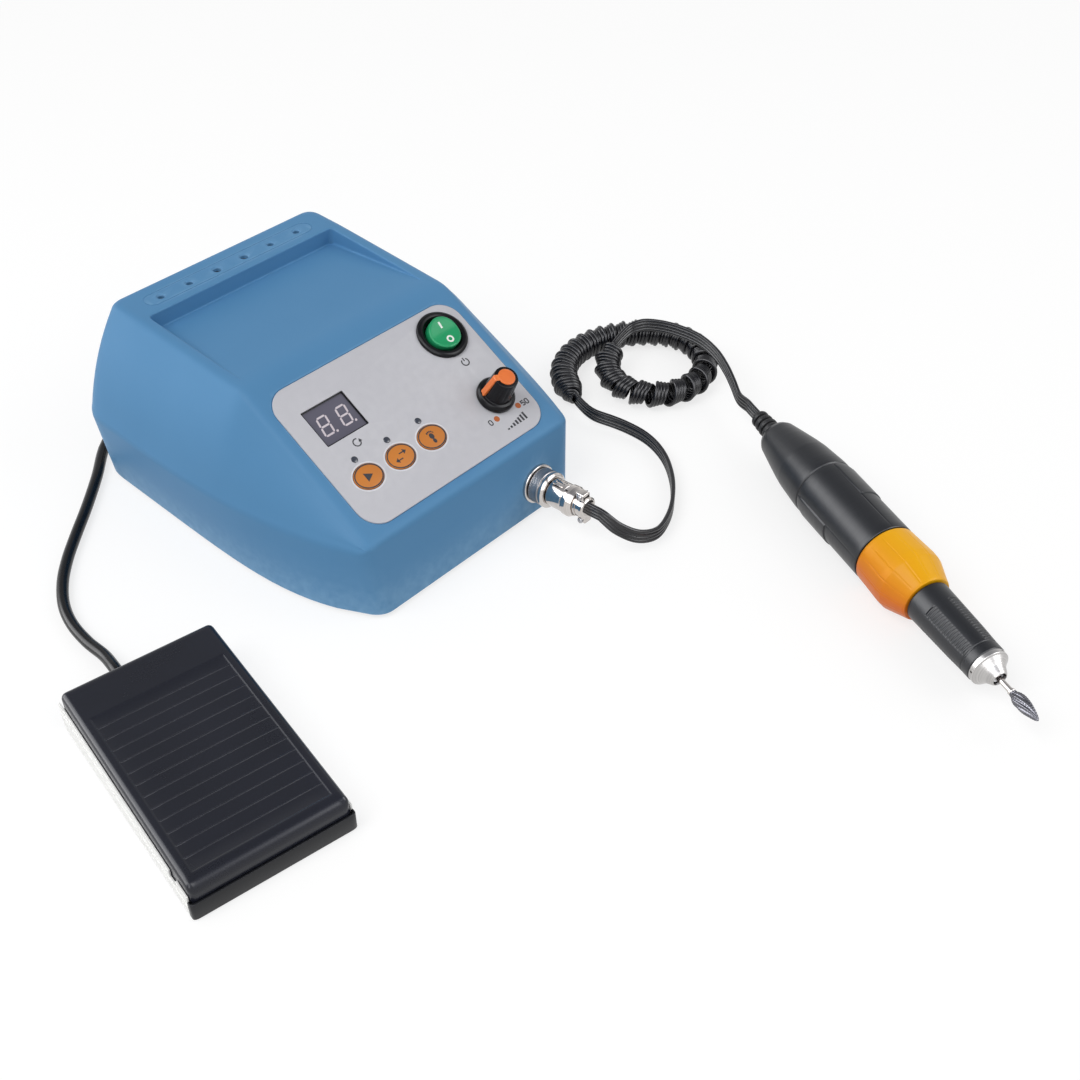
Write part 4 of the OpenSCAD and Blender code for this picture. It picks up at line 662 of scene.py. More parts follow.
def lobed_section():
    """Half thickness and place across the ribbon: four round wires side by side in one sleeve."""
    wire, spread = 0.925, 1.65
    centres = [spread * (k - 1.5) for k in range(4)]
    across = [-RIBBON_W / 2 + RIBBON_W * k / 32 for k in range(33)]
    thick = []
    for w in across:
        deep = max(max(0, 1 - ((w - c) / wire) ** 2) for c in centres)
        thick.append(RIBBON_T / 2 * max(0.05, math.sqrt(deep)))
    front = list(zip(thick, across))
    back = [(-t, w) for t, w in zip(thick, across)]
    return front + back[::-1]


def curl_guide():
    """The line that the curls wind about."""
    posts = []
    for angle, far, high in CURL_POLAR:
        a = math.radians(angle)
        posts.append(CURL_MIDDLE + Vector((far * math.cos(a), far * math.sin(a), high)))
    eases = [curve_at(posts, i, j / 6) for i in range(1, len(posts) - 1) for j in range(6)]
    return [posts[0]] + eases + [posts[-1]]


def curl_step(share):
    k = max(i for i in range(len(CURL_STEPS) - 1) if CURL_STEPS[i][0] <= share)
    (a, low), (b, high) = CURL_STEPS[k], CURL_STEPS[k + 1]
    return low + (high - low) * (share - a) / (b - a)


def curl_shares(count):
    """The share of the length at which each step of the winding lies."""
    parts, turns = 800, [0.0]
    for k in range(parts):
        turns.append(turns[-1] + 1 / curl_step((k + 0.5) / parts))
    shares, k = [], 0
    for step in range(count + 1):
        wanted = turns[-1] * step / count
        while k < parts - 1 and turns[k + 1] < wanted:
            k += 1
        shares.append((k + (wanted - turns[k]) / (turns[k + 1] - turns[k])) / parts)
    return shares


def curly_line(guide):
    """The curled stretch: the ribbon's middle, the side it shows outwards and how far it leans over."""
    run = [0.0]
    for a, b in zip(guide, guide[1:]):
        run.append(run[-1] + (b - a).length)

    def place(s):
        s = min(max(s, 0), run[-1])
        k = max(i for i in range(len(run) - 1) if run[i] <= s)
        return guide[k].lerp(guide[k + 1], (s - run[k]) / (run[k + 1] - run[k]))

    fine, straight = 24, 5
    count = CURLS * fine
    shares = curl_shares(count)
    line, sides, leans = [], [], []
    for k in range(-straight, count + straight + 1):
        winding = min(max(k, 0), count)
        share = shares[winding]
        s = RIBBON_W + (run[-1] - 2 * RIBBON_W) * share + (k - winding) * RIBBON_W / straight
        way = (place(s + 1.5) - place(s - 1.5)).normalized()
        side = level_side(way)
        a = math.tau * winding / fine
        out = side * math.cos(a) + side.cross(way) * math.sin(a)
        q = min(1, min(winding, count - winding) / fine)
        opening = q * q * (3 - 2 * q)
        line.append(place(s) + out * CURL_R * opening)
        sides.append(out)
        leans.append(math.degrees(math.asin(CURL_LAP / curl_step(share))) * opening)
    return line, sides, leans


def relaxed(line, near, reach=9, passes=5):
    """The line with its bend about one point eased out."""
    for _ in range(passes):
        old = list(line)
        for k in range(near - reach, near + reach + 1):
            line[k] = (old[k - 1] + old[k] * 2 + old[k + 1]) / 4
    return line


def handpiece_cord_line():
    guide = curl_guide()
    into, away = (guide[1] - guide[0]).normalized(), (guide[-1] - guide[-2]).normalized()
    plug_end = smooth([
        *[SOCKET @ Vector((0, 0, z)) for z in (29.9, 36.7)], (39.5, -125, 14), (46, -131, 9),
        (56, -133, 5.4), (67, -130, 4.2), (78, -124, 4), (90, -114, 4), (100, -101, 4), (105, -86.5, 4.2),
        (103.6, -71, 5.2), guide[0] - into * RIBBON_W, guide[0]], 8)
    curls, outwards, leans = curly_line(guide)
    hand_end = smooth([
        guide[-1], guide[-1] + away * RIBBON_W, (162, -35.5, 15.8), (166, -44.5, 17.2), (167.6, -56, 18.4),
        (167.4, -68, 18.8), (164, -80, 18.4), (159, -90, 17.2), (154.3, -98, 15), (149.4, -105.6, 12.8),
        *[HANDPIECE @ Vector((0, 0, z)) for z in (-24.8, -21.8, -15)]], 8)
    before, after = len(plug_end) - 1, len(hand_end) - 1
    line = plug_end[:-1] + curls + hand_end[1:]
    line = relaxed(relaxed(line, before), before + len(curls))
    return line, [None] * before + outwards + [None] * after, [0] * before + leans + [0] * after


def make_handpiece_cord():
    line, sides, leans = handpiece_cord_line()
    section, rings = lobed_section(), []
    for k, spot in enumerate(line):
        way = heading(line, k)
        side = sides[k] or level_side(way)
        side = (side - way * side.dot(way)).normalized()
        across = side.cross(way)
        c, s = math.cos(math.radians(leans[k])), math.sin(math.radians(leans[k]))
        flat, wide = side * c + across * s, across * c - side * s
        rings.append([spot + flat * t + wide * w for t, w in section])
    cord = piece("handpiece_cord", lofted(rings), CORD_BLACK, crisp=60,
                 stands_for=("plug_ribbon", "curly_cord", "handpiece_ribbon"))
    return cord, [tuple(BOX @ p) for p in line]


def pedal_cord_line():
    first = smooth([
        *[PEDAL @ Vector((PEDAL_TAIL_X, PEDAL_END_Y + far, PEDAL_TAIL_Z)) for far in (7, 12)],
        (-146.2, -20, 4.4), (-146, -7.6, 3.2),
        (-144.4, 5.6, 2.8), (-140.4, 17.6, 2.8), (-133.2, 29.4, 2.8), (-124, 40, 2.8), (-113, 50.4, 2.8),
        (-99, 63, 2.8), (-84, 77.5, 2.8), (-67, 95, 2.8), (-48, 104, 2.8), (-28, 104.5, 2.8), (-8, 99, 2.8),
        (8, 93, 2.8), (19, 90.4, 3.4), (28, 90, 4.1), (33, 90, 4.1)], 5)
    coil, steps = [], 276
    for k in range(steps + 1):
        u = COIL_TURNS * k / steps
        r = COIL_R - COIL_STEP * min(u, COIL_TURNS - u)
        a = math.radians(-90 + 360 * u)
        up = min(1, max(0, (u - COIL_TURNS / 2 + 0.25) / 0.5))
        z = COIL_Z + COIL_STEP * up * up * (3 - 2 * up)
        coil.append(Vector((COIL_X + r * math.cos(a), COIL_Y + r * math.sin(a), z)))
    last = smooth([(2, 121, 9.7), (2, 118, 9.7), (2, 110.75, 11.85), (2, 105.5, 14), (2, 100.5, 14)], 6)
    return first + coil + last


def make_pedal_cord():
    line = pedal_cord_line()
    rings = []
    for k, spot in enumerate(line):
        way = heading(line, k)
        side = level_side(way)
        up = side.cross(way)
        rings.append([spot + (side * math.cos(a) + up * math.sin(a)) * CORD_D / 2
                      for a in [math.tau * j / 18 for j in range(18)]])
    cord = piece("pedal_lead", lofted(rings), LEAD_BLACK, crisp=60,
                 stands_for=("pedal_cord", "pedal_cord_coil", "pedal_cord_tail"))
    return cord, [tuple(BOX @ p) for p in line]


handpiece_cord, handpiece_path = make_handpiece_cord()
pedal_cord, pedal_path = make_pedal_cord()


# ---------------------------------------------------------------- control box

FRONT_Y, FRONT_LEAN, REAR_Y, LEDGE_Y = -79.5, 3, 83.5, 62.0
# Half widths at the foot, the crease and the rim; the lower two draw in forward of one place
FOOT_HALF, CREASE_HALF, RIM_HALF, FOOT_DRAWN, CREASE_DRAWN, DRAWN_FROM_Y = 76, 80, 56.0, 19, 21, 60
FRONT_H, CREASE_Z, TRAY_Z, FOOT_Z, WALL = 38.0, 36.0, 71.0, 2.0, 2.6
TRAY_HALF, TRAY_R, TRAY_START = 50.5, 2.5, -0.0983
SLOPE_RISE = math.tan(math.radians(PANEL_TILT))
ROUND, SWELL, LID_RISE = 3.0, 0.05, 2.5
# Places across the edge of the tool tray where the top has points, from outside to inside
TRAY_EDGE = [-0.8, -0.55, -0.3, -0.1, 0, 0.12, 0.17, 0.3, 0.5, 0.8, 1.12]


def softened(d, w):
    """A bend from flat to a unit slope, spread over a width."""
    return 0.0 if d < -w else d if d > w else (d + w) ** 2 / (4 * w)


def rim_height(y):
    lid = LID_RISE / (LEDGE_Y - BEND_Y)
    return (FRONT_H + SLOPE_RISE * (y - FRONT_Y) + (lid - SLOPE_RISE) * softened(y - BEND_Y, 4)
            - lid * softened(y - LEDGE_Y, 3))


def tray_depth(x, y):
    """Depth of the tool tray: a rounded lip, a steep wall and a small fillet at its floor."""
    start, steep = rim_height(TRAY_START), 0.12
    floor = start + (TRAY_Z - start) * (y - TRAY_START) / (LEDGE_Y - TRAY_START)
    deep = rim_height(y) - floor
    if y <= TRAY_START or deep < 0.02:
        return 0.0
    qx, qy = abs(x) - (TRAY_HALF - TRAY_R), y - (LEDGE_Y - TRAY_R)
    inside = TRAY_R - math.hypot(max(qx, 0), max(qy, 0)) - min(max(qx, qy), 0)
    lip, fillet = min(0.8, 0.4 * deep), min(1.0, 0.4 * deep)
    if inside <= -lip:
        return 0.0
    if inside <= 0:
        return lip - math.sqrt(max(0, lip * lip - (inside + lip) ** 2))
    if inside <= steep:
        return lip + (deep - fillet - lip) * inside / steep
    rest = min(1, (inside - steep) / fillet)
    return deep - fillet + fillet * math.sqrt(1 - (1 - rest) ** 2)


def top_height(x, y):
    return rim_height(y) - tray_depth(x, y)


def roof_height(y):
    slope = FRONT_H + SLOPE_RISE * (y - FRONT_Y)
    return min(TRAY_Z - WALL, slope - WALL / math.cos(math.radians(PANEL_TILT)))


def half_width(level, y):
    t = max(0.0, (DRAWN_FROM_Y - y) / (DRAWN_FROM_Y - FRONT_Y))
    return (FOOT_HALF - FOOT_DRAWN * t ** 5, CREASE_HALF - CREASE_DRAWN * t ** 3, RIM_HALF)[level]


def curved(a, p, b, n):
    """A bend from a to b that heads for p."""
    a, p, b = Vector(a), Vector(p), Vector(b)
    return [a * (1 - t) ** 2 + p * 2 * t * (1 - t) + b * t * t for t in [k / n for k in range(n + 1)]]


def half_line(level, by):
    """The right half of an outline from the rear round to the front: 0 foot, 1 crease, 2 rim."""
    r1, r0 = (16, 16, 6)[level], (5, 6, 4)[level]
    y1 = (REAR_WALL_Y, REAR_WALL_Y, REAR_Y)[level] - by
    y0 = (FRONT_Y - FRONT_LEAN, FRONT_Y, FRONT_Y)[level] + by
    h1 = half_width(level, y1 + by) - by
    ha = half_width(level, y0 + r0) - by
    px = ha - r0 * (half_width(level, y0 + r0 + 1) - half_width(level, y0 + r0))
    return (curved((h1 - r1, y1), (h1, y1), (h1, y1 - r1), 10)
            + [Vector((half_width(level, y) - by, y)) for y in STATIONS]
            + curved((ha, y0 + r0), (px, y0), (px - r0, y0), 10))


STATIONS = ([68, 65, 63.5] + [LEDGE_Y - d for d in TRAY_EDGE]
            + [60.4, 59.9, 59.4, 58.6, 57, 54, 50, 45, 40, 33, 26, 19, 12, 7, 3, 0, -2, -3.5, -5,
               -6, -7, -8, -9, -10.5, -12, -15, -20, -26, -33, -40, -47, -53, -58, -62, -65])
ACROSS = [x / (RIM_HALF - ROUND) for x in [0, 9, 18, 27, 36, 43, 46.5, 47.8, 48.4, 48.9]
          + [TRAY_HALF - d for d in reversed(TRAY_EDGE)] + [52, RIM_HALF - ROUND]]
FRACTIONS = ACROSS[::-1] + [-f for f in ACROSS[1:]]


def full_ring(line):
    """A half line carried round: right side, front, left side, rear."""
    first, last = line[0], line[-1]
    inner = FRACTIONS[1:-1]
    return (line + [Vector((last.x * f, last.y)) for f in inner]
            + [Vector((-p.x, p.y)) for p in reversed(line)]
            + [Vector((-first.x * f, first.y)) for f in inner])


def wall_column(foot, crease, rim, top):
    """Points up one line of the wall: the crease, a slight swell above it and the rounded rim."""
    down, up = (foot - crease).normalized(), rim - crease
    free = up.length - ROUND
    if free > 0.6:
        way = up.normalized()
        begin, back = rim - way * ROUND, min(2.6, 0.8 * free)
        knee = curved(crease + down * back, crease, crease + way * back, 6)
        out = Vector((crease.x - rim.x, crease.y - rim.y, 0))
        out = out - way * out.dot(way)
        swell = out * (SWELL * up.length * abs(out.x) / max(out.length_squared, 1e-6))
        side = [knee[-1].lerp(begin, t) + swell * 4 * t * (1 - t) for t in [k / 9 for k in range(1, 9)]]
    else:
        begin = crease + down * max(0.1, ROUND - up.length)
        knee = []
        side = [begin + down * (0.2 + 0.15 * (14 - k)) for k in range(15)]
    climb = knee + side
    return [foot, foot.lerp(climb[0], 0.5)] + climb + curved(begin, rim, top, 6)


def make_shell():
    lines = [half_line(0, 0), half_line(1, 0), half_line(2, 0), half_line(2, ROUND)]
    rings = [full_ring(line) for line in lines]
    columns = [wall_column(Vector((f.x, f.y, FOOT_Z)), Vector((c.x, c.y, CREASE_Z)),
                           Vector((r.x, r.y, rim_height(r.y))), Vector((t.x, t.y, top_height(t.x, t.y))))
               for f, c, r, t in zip(*rings)]
    n, high = len(columns), len(columns[0])
    points = [column[k] for k in range(high) for column in columns]
    faces = []
    for k in range(high - 1):
        faces += bridged(list(range(k * n, k * n + n)), list(range(k * n + n, k * n + 2 * n)))

    def lid(line, start, height):
        """A face of rows across the box inside a ring that starts at a point number."""
        rows, m, count = [], len(FRACTIONS), len(line)
        for i, p in enumerate(line):
            right, left = start + i, start + count + (m - 2) + (count - 1 - i)
            if i == count - 1:
                middle = [start + count + j for j in range(m - 2)]
            elif i == 0:
                middle = [start + 2 * count + 2 * (m - 2) - 1 - j for j in range(m - 2)]
            else:
                middle = list(range(len(points), len(points) + m - 2))
                points.extend(Vector((p.x * f, p.y, height(p.x * f, p.y))) for f in FRACTIONS[1:-1])
            rows.append([right] + middle + [left])
        for a, b in zip(rows, rows[1:]):
            faces.extend((a[j], a[j + 1], b[j + 1], b[j]) for j in range(m - 1))

    lid(lines[3], (high - 1) * n, top_height)
    inner = [half_line(level, WALL) for level in range(3)]
    base = len(points)
    for line, z in zip(inner, (FOOT_Z, 32.0, None)):
        points.extend(Vector((p.x, p.y, roof_height(p.y) if z is None else z)) for p in full_ring(line))
    faces += bridged(list(range(n)), list(range(base, base + n)))
    for k in range(2):
        faces += bridged(list(range(base + k * n, base + k * n + n)),
                         list(range(base + k * n + n, base + k * n + 2 * n)))
    lid(inner[2], base + 2 * n, lambda x, y: roof_height(y))
    return points, faces


BUR_XS = [(i - 2.5) * 15 for i in range(6)]
BUR_BORES = [1.3, 1.3, 1.6, 1.6, 1.3, 1.3]
KEY_XS, KEY_S, LAMP_S, KEY_W, KEY_H = (-36.4, -19.0, -1.6), 57, 48, 13.4, 11.0
SWITCH, KNOB, DISPLAY = (36, 21), (36, 56.5), (-31, 29)
KEY_TOP, SHEET_W, SHEET_L, SHEET_R, SHEET_DOWN = 0.9, 102, 70, 10, 42
LEDGE_TOP, BUR_Y = BEND_Z + LID_RISE, 71


def bur_hole_tool(x, bore):
    r = bore + 0.2
    return moved(turned([(0, 60), (3.4, 60), (3.4, 77), (r, 77), (r, LEDGE_TOP - 0.7),
                         (r + 0.9, LEDGE_TOP + 0.2), (r + 0.9, LEDGE_TOP + 2), (0, LEDGE_TOP + 2)], 32),
                 set_at(x, BUR_Y, 0))


def panel_tools(deep):
    tools = [moved(rod(10, -deep, deep, 48), panel(*SWITCH)), moved(rod(3.5, -deep, deep), panel(*KNOB)),
             moved(slab(rounded(22, 18, 0.4, 3), -deep, deep, 0), panel(*DISPLAY))]
    for x in KEY_XS:
        tools.append(moved(slab(oval(KEY_W + 0.6, KEY_H + 0.6), -deep, deep, 0), panel(x, KEY_S)))
        tools.append(moved(rod(1.5, -deep, deep, 24), panel(x, LAMP_S)))
    return tools


def holder_groove():
    """A faint line round the bur holes."""
    return moved(stroke(rounded(91, 9, 4.4, 8), 0.4, -0.14, 1, closed=True), set_at(0, BUR_Y, LEDGE_TOP))


def sheet_bed():
    """The shallow bed of the panel sheet, a little wider than the sheet."""
    room = 0.4
    outline = rounded(SHEET_W + 2 * room, SHEET_L + 2 * room, SHEET_R + room, 10)
    return moved(slab(outline, -0.3, 3, 0), panel(0, SHEET_DOWN))


def make_box():
    tools = panel_tools(10) + [bur_hole_tool(x, b) for x, b in zip(BUR_XS, BUR_BORES)]
    tools.append(moved(rod(6.4, -10, 10, 40), SOCKET))
    tools += [moved(rod(5, -10, 10, 32), rear(x, z)) for x, z in (PEDAL_INLET, MAINS_INLET)]
    shell = carved(carved(make_shell(), sheet_bed(), holder_groove()), *tools)
    piece("box_shell", shell, SHELL_BLUE, stands_for="top_shell", crisp=28)


make_box()


# ---------------------------------------------------------------- panel

SHEET_TOP, PRINT, PRINT_UNDER = 0.5, 0.05, -0.02


def make_sheet():
    sheet = slab(rounded(SHEET_W, SHEET_L, SHEET_R, 10), -0.28, SHEET_TOP, 0.3)
    sheet = moved(sheet, panel(0, SHEET_DOWN))
    piece("panel_film", carved(sheet, *panel_tools(4)), SHEET_GREY,
          stands_for="panel_sheet", crisp=40)


def printed(name, shape, x, down, look=INK, high=SHEET_TOP, body="unit", slot="black_plastic"):
    piece(name, shape, look, panel(x, down, high), body)


def patch(outline):
    """A printed area."""
    return slab(outline, PRINT_UNDER, PRINT, 0)


def bar(points, width):
    return stroke(points, width, PRINT_UNDER, PRINT)


def loop(points, width):
    return stroke(points, width, PRINT_UNDER, PRINT, closed=True)


def zero(w, h, width, x=0.0):
    return loop([(x + px, py) for px, py in rounded(w, h, w * 0.42, 4)], width)


def five(w, h, width, x=0.0):
    line = [(w / 2, h / 2), (-w / 2, h / 2), (-w / 2, 0.06 * h)]
    line += arc(w / 2, 110, -150, 14, 0, -h * 0.18)
    return bar([(x + px, py) for px, py in line], width)


def make_scale():
    for name, x in (("scale_dot_low", 29.1), ("scale_dot_high", 42.1)):
        printed(name, patch(oval(2.7, 2.7, 28)), x, 65.3, ORANGE_INK, slot="orange_plastic")
    printed("scale_zero", zero(1.5, 2.3, 0.5), 25.4, 65.4)
    printed("scale_fifty", joined(five(1.4, 2.3, 0.5, -1.05), zero(1.5, 2.3, 0.5, 1.05)), 46.0, 65.5)
    bars = [bar([(x, -1.6), (x, -1.6 + tall)], 1.0) for x, tall in
            ((-5.4, 0.7), (-3.6, 1.1), (-1.8, 1.6), (0, 2.1), (1.8, 2.6), (3.6, 3.1), (5.4, 3.6))]
    printed("rising_bars", joined(*bars), 35.9, 70.6)


def make_signs():
    ring = bar(arc(1.7, 125, 415), 0.55)
    printed("power_sign", joined(ring, bar([(0, 0.5), (0, 2.3)], 0.55)), 36.2, 36.6)
    turn = bar(arc(1.7, 60, 350), 0.5)
    tip = moved(patch([(-0.9, 0), (0.9, 0), (0, 1.5)]), set_at(1.7, -0.3, 0))
    printed("turning_sign", joined(turn, tip), -30.4, 42.4)


def make_keys():
    play = patch([(-1.6, -2.1), (2.1, 0), (-1.6, 2.1)])
    left = joined(bar([(0.2, 0), (-2.2, 0)], 0.5), patch([(-3.6, 0), (-2.0, -1.2), (-2.0, 1.2)]))
    right = joined(bar([(-0.2, 0), (2.2, 0)], 0.5), patch([(3.6, 0), (2.0, 1.2), (2.0, -1.2)]))
    double = joined(moved(right, set_at(0, 1.2, 0)), moved(left, set_at(0, -1.2, 0)))
    sole = [(0, 0.3, 2.2, 2.8), (-0.1, -2.1, 1.6, 2.2), (-1.2, 2.2, 0.75, 0.9), (-0.4, 2.5, 0.7, 0.9),
            (0.4, 2.45, 0.65, 0.85), (1.1, 2.1, 0.6, 0.8), (1.6, 1.5, 0.5, 0.7)]
    foot = joined(*[moved(patch(oval(w, h, 24)), set_at(x, y, 0)) for x, y, w, h in sole])
    outline = oval(KEY_W, KEY_H)
    for name, node, x, sign in (
            ("start_key", "start_button", KEY_XS[0], play),
            ("direction_key", "direction_button", KEY_XS[1], double),
            ("mode_key", "mode_button", KEY_XS[2], foot)):
        cap = slab(outline, -2.8, KEY_TOP, 0.15)
        flange = slab(oval(KEY_W + 2.4, KEY_H + 2.4), -3.9, -2.7, 0)
        stem = rod(1.6, -12.3, -3.6, 24)
        piece(name, joined(cap, flange, stem), KEY_ORANGE, panel(x, KEY_S), name, node)
        printed(name + "_outline", loop(inset(outline, 0.42), 0.54), x, KEY_S, INK, KEY_TOP, name)
        printed(name + "_sign", sign, x, KEY_S, INK, KEY_TOP, name)
        # A pale ring printed on the film round each key: a painted sheen standing in for light caught on the
        # edge of the key's hole.
        sheen_ring = loop(oval(KEY_W + 1.5, KEY_H + 1.5), 0.6)
        printed(name + "_painted_sheen", sheen_ring, x, KEY_S, PAINTED_SHEEN, slot="panel_grey")
    domes = []
    for x in KEY_XS:
        dome = turned([(0, -14), (1.45, -14), (1.45, 0.5), (1.3, 0.72), (0.9, 0.85), (0, 0.9)], 28)
        domes.append(moved(dome, panel(x, LAMP_S)))
    piece("lamp_lenses", joined(*domes), LAMP, stands_for="indicator_lamps")


def segment(a, b, width):
    """One bar of a number, pointed at its ends."""
    a, b = Vector(a), Vector(b)
    way = (b - a).normalized()
    side = Vector((-way.y, way.x)) * width / 2
    a, b = a + way * 0.16, b - way * 0.16
    corners = [a, a + way * width / 2 - side, b - way * width / 2 - side, b, b - way * width / 2 + side,
               a + way * width / 2 + side]
    return patch([(p.x, p.y) for p in corners])


def number_eight(w, h, width):
    x, y = w / 2, h / 2
    ends = [((-x, y), (x, y)), ((-x, 0), (x, 0)), ((-x, -y), (x, -y)), ((-x, 0), (-x, y)), ((x, 0), (x, y)),
            ((-x, -y), (-x, 0)), ((x, -y), (x, 0))]
    return joined(*[segment(a, b, width) for a, b in ends])


def make_display():
    face_high, lean = -0.6, 0.17
    block = slab(rounded(21.8, 17.8, 0.4, 3), -14, face_high, 0)
    piece("display_face", block, DISPLAY_FACE, panel(*DISPLAY), stands_for="display_block")
    # A thin black frame round the display window: partly the window's own frame, partly painted shade along
    # the edges of its recess.
    outer, inner = rounded(21.9, 17.9, 0.4, 3), rounded(20.9, 16.9, 0.3, 3)
    frame_rings = [[(x, y, z) for x, y in line] for line, z in
                   ((outer, face_high), (outer, 0.1), (inner, 0.0), (inner, face_high))]
    piece("display_frame_painted_shade", lofted(frame_rings, closed=True), GLOSS_BLACK, panel(*DISPLAY))
    marks = []
    for x in (-4.9, 5.0):
        marks.append(moved(number_eight(4.5, 8.4, 0.85), set_at(x, -0.3, 0)))
        marks.append(moved(patch(oval(1.1, 1.1, 20)), set_at(x + 3.6, -4.6, 0)))
    leaning = reshaped(joined(*marks), lambda p: Vector((p.x + lean * p.y, p.y, p.z)))
    printed("display_segments", leaning, *DISPLAY, SEGMENT, face_high, slot="display")


def make_switch():
    profile = [(0, -6.2)] + eased([(8.2, -6.2), (8.2, 1.4, 0.3), (8.9, 2.2, 0.3), (10.2, 2.5, 1.2),
                                   (11.5, 1.7, 0.8), (11.5, 0.5), (10, 0.5), (10, -16)]) + [(0, -16)]
    shape = turned(profile, 80)
    legs = [moved(slab(rounded(0.8, 4.8, 0.2, 2), -23, -15.5, 0.2), set_at(x, 0, 0)) for x in (-5, 0, 5)]
    piece("switch_bezel", joined(shape, *legs), GLOSS_BLACK, panel(*SWITCH),
          stands_for="switch_body")
    r, top, bottom, valley, face_mark = 7.35, 4.7, -3.5, 0.13, 3.9
    pivot = panel(*SWITCH, -1) @ spun("X", 7)

    def face_height(y):
        return top + valley * math.sqrt(y * y + 1.2)

    def valleyed(p):
        if p.z < face_mark - 0.01:
            return p
        far = math.hypot(p.x, p.y) / r
        return Vector((p.x, p.y, face_height(p.y) - 0.45 * max(0, (far - 0.9) / 0.1) ** 2))

    side = [(0, bottom), (r - 0.5, bottom), (r, bottom + 0.7), (r, 1), (r, 2.6)]
    face = [(r * f, face_mark) for f in (1, 0.985, 0.96, 0.93, 0.9, 0.8, 0.65, 0.5, 0.35, 0.2, 0.1)]
    body = reshaped(turned(side + face + [(0, face_mark)], 72), valleyed)
    arms = [moved(rod(1.2, 6, 9.3, 20), spun("Y", a)) for a in (90, -90)]
    piece("rocker", joined(body, *arms), GREEN_ROCKER, pivot, "rocker", "power_rocker",
          crisp=40)
    for name, sign, y, tilt in (
            ("rocker_bar", stroke([(0, -1.5), (0, 1.5)], 0.95, -0.1, 0.08), 3.6, 7.0),
            ("rocker_ring", stroke(oval(2.6, 2.6, 32), 0.8, -0.1, 0.08, closed=True), -3.7, -7.0)):
        piece(name, sign, WHITE_INK, pivot @ set_at(0, y, face_height(y)) @ spun("X", tilt), "rocker")


def make_knob():
    foot, top, turn = 0.9, 15.9, 155
    outside = eased([(6.0, foot), (8.6, foot, 0.3), (8.5, 2.8, 0.8), (7.6, 3.9, 1.0), (6.4, 4.2, 0.5),
                     (5.3, top - 0.1, 0.5), (4.6, top, 0.2)], steps=5)
    profile = [(6.0, 3.2), (3.0, 3.2), (3.0, 12.9), (0, 12.9)][::-1] + resampled(outside, 1.6) + [(0, top)]

    def fluted(r, z, a):
        if not 4.4 < z < top - 0.5 or r < 4:
            return r
        fade = min(1, (z - 4.4) / 1.5)
        return r - 0.16 * fade * (0.5 - 0.5 * math.cos(14 * a)) ** 3

    piece("knob", turned(profile, 168, fluted), GLOSS_BLACK, panel(*KNOB), "knob",
          "speed_knob", crisp=38)
    cap = turned(eased([(0, top), (3.8, top), (3.8, top + 0.35, 0.2), (3.4, top + 0.6, 0.3),
                        (0, top + 0.65)]), 64)
    wedge = eased([(3.0, 4.1), (7.4, 4.1, 0.3), (5.55, top + 0.25, 0.7), (3.0, top + 0.5)], closed=True)
    strip = moved(slab(wedge, -1.4, 1.4, 0.25, 0.25), spun("Z", turn) @ spun("X", 90))
    piece("knob_pointer_cap", joined(cap, strip), ORANGE_PLASTIC, panel(*KNOB), "knob",
          "knob_pointer")


make_sheet()
make_scale()
make_signs()
make_keys()
make_display()
make_switch()
make_knob()


# ---------------------------------------------------------------- plug and glands

def knurled(r, z, a):
    if not 2.7 < z < 6.8 or r < 7.5:
        return r
    n, k = 44, 44 / 8.0
    return r - 0.28 * (0.5 + 0.5 * math.cos(n * a + k * z)) * (0.5 + 0.5 * math.cos(n * a - k * z)) - 0.05


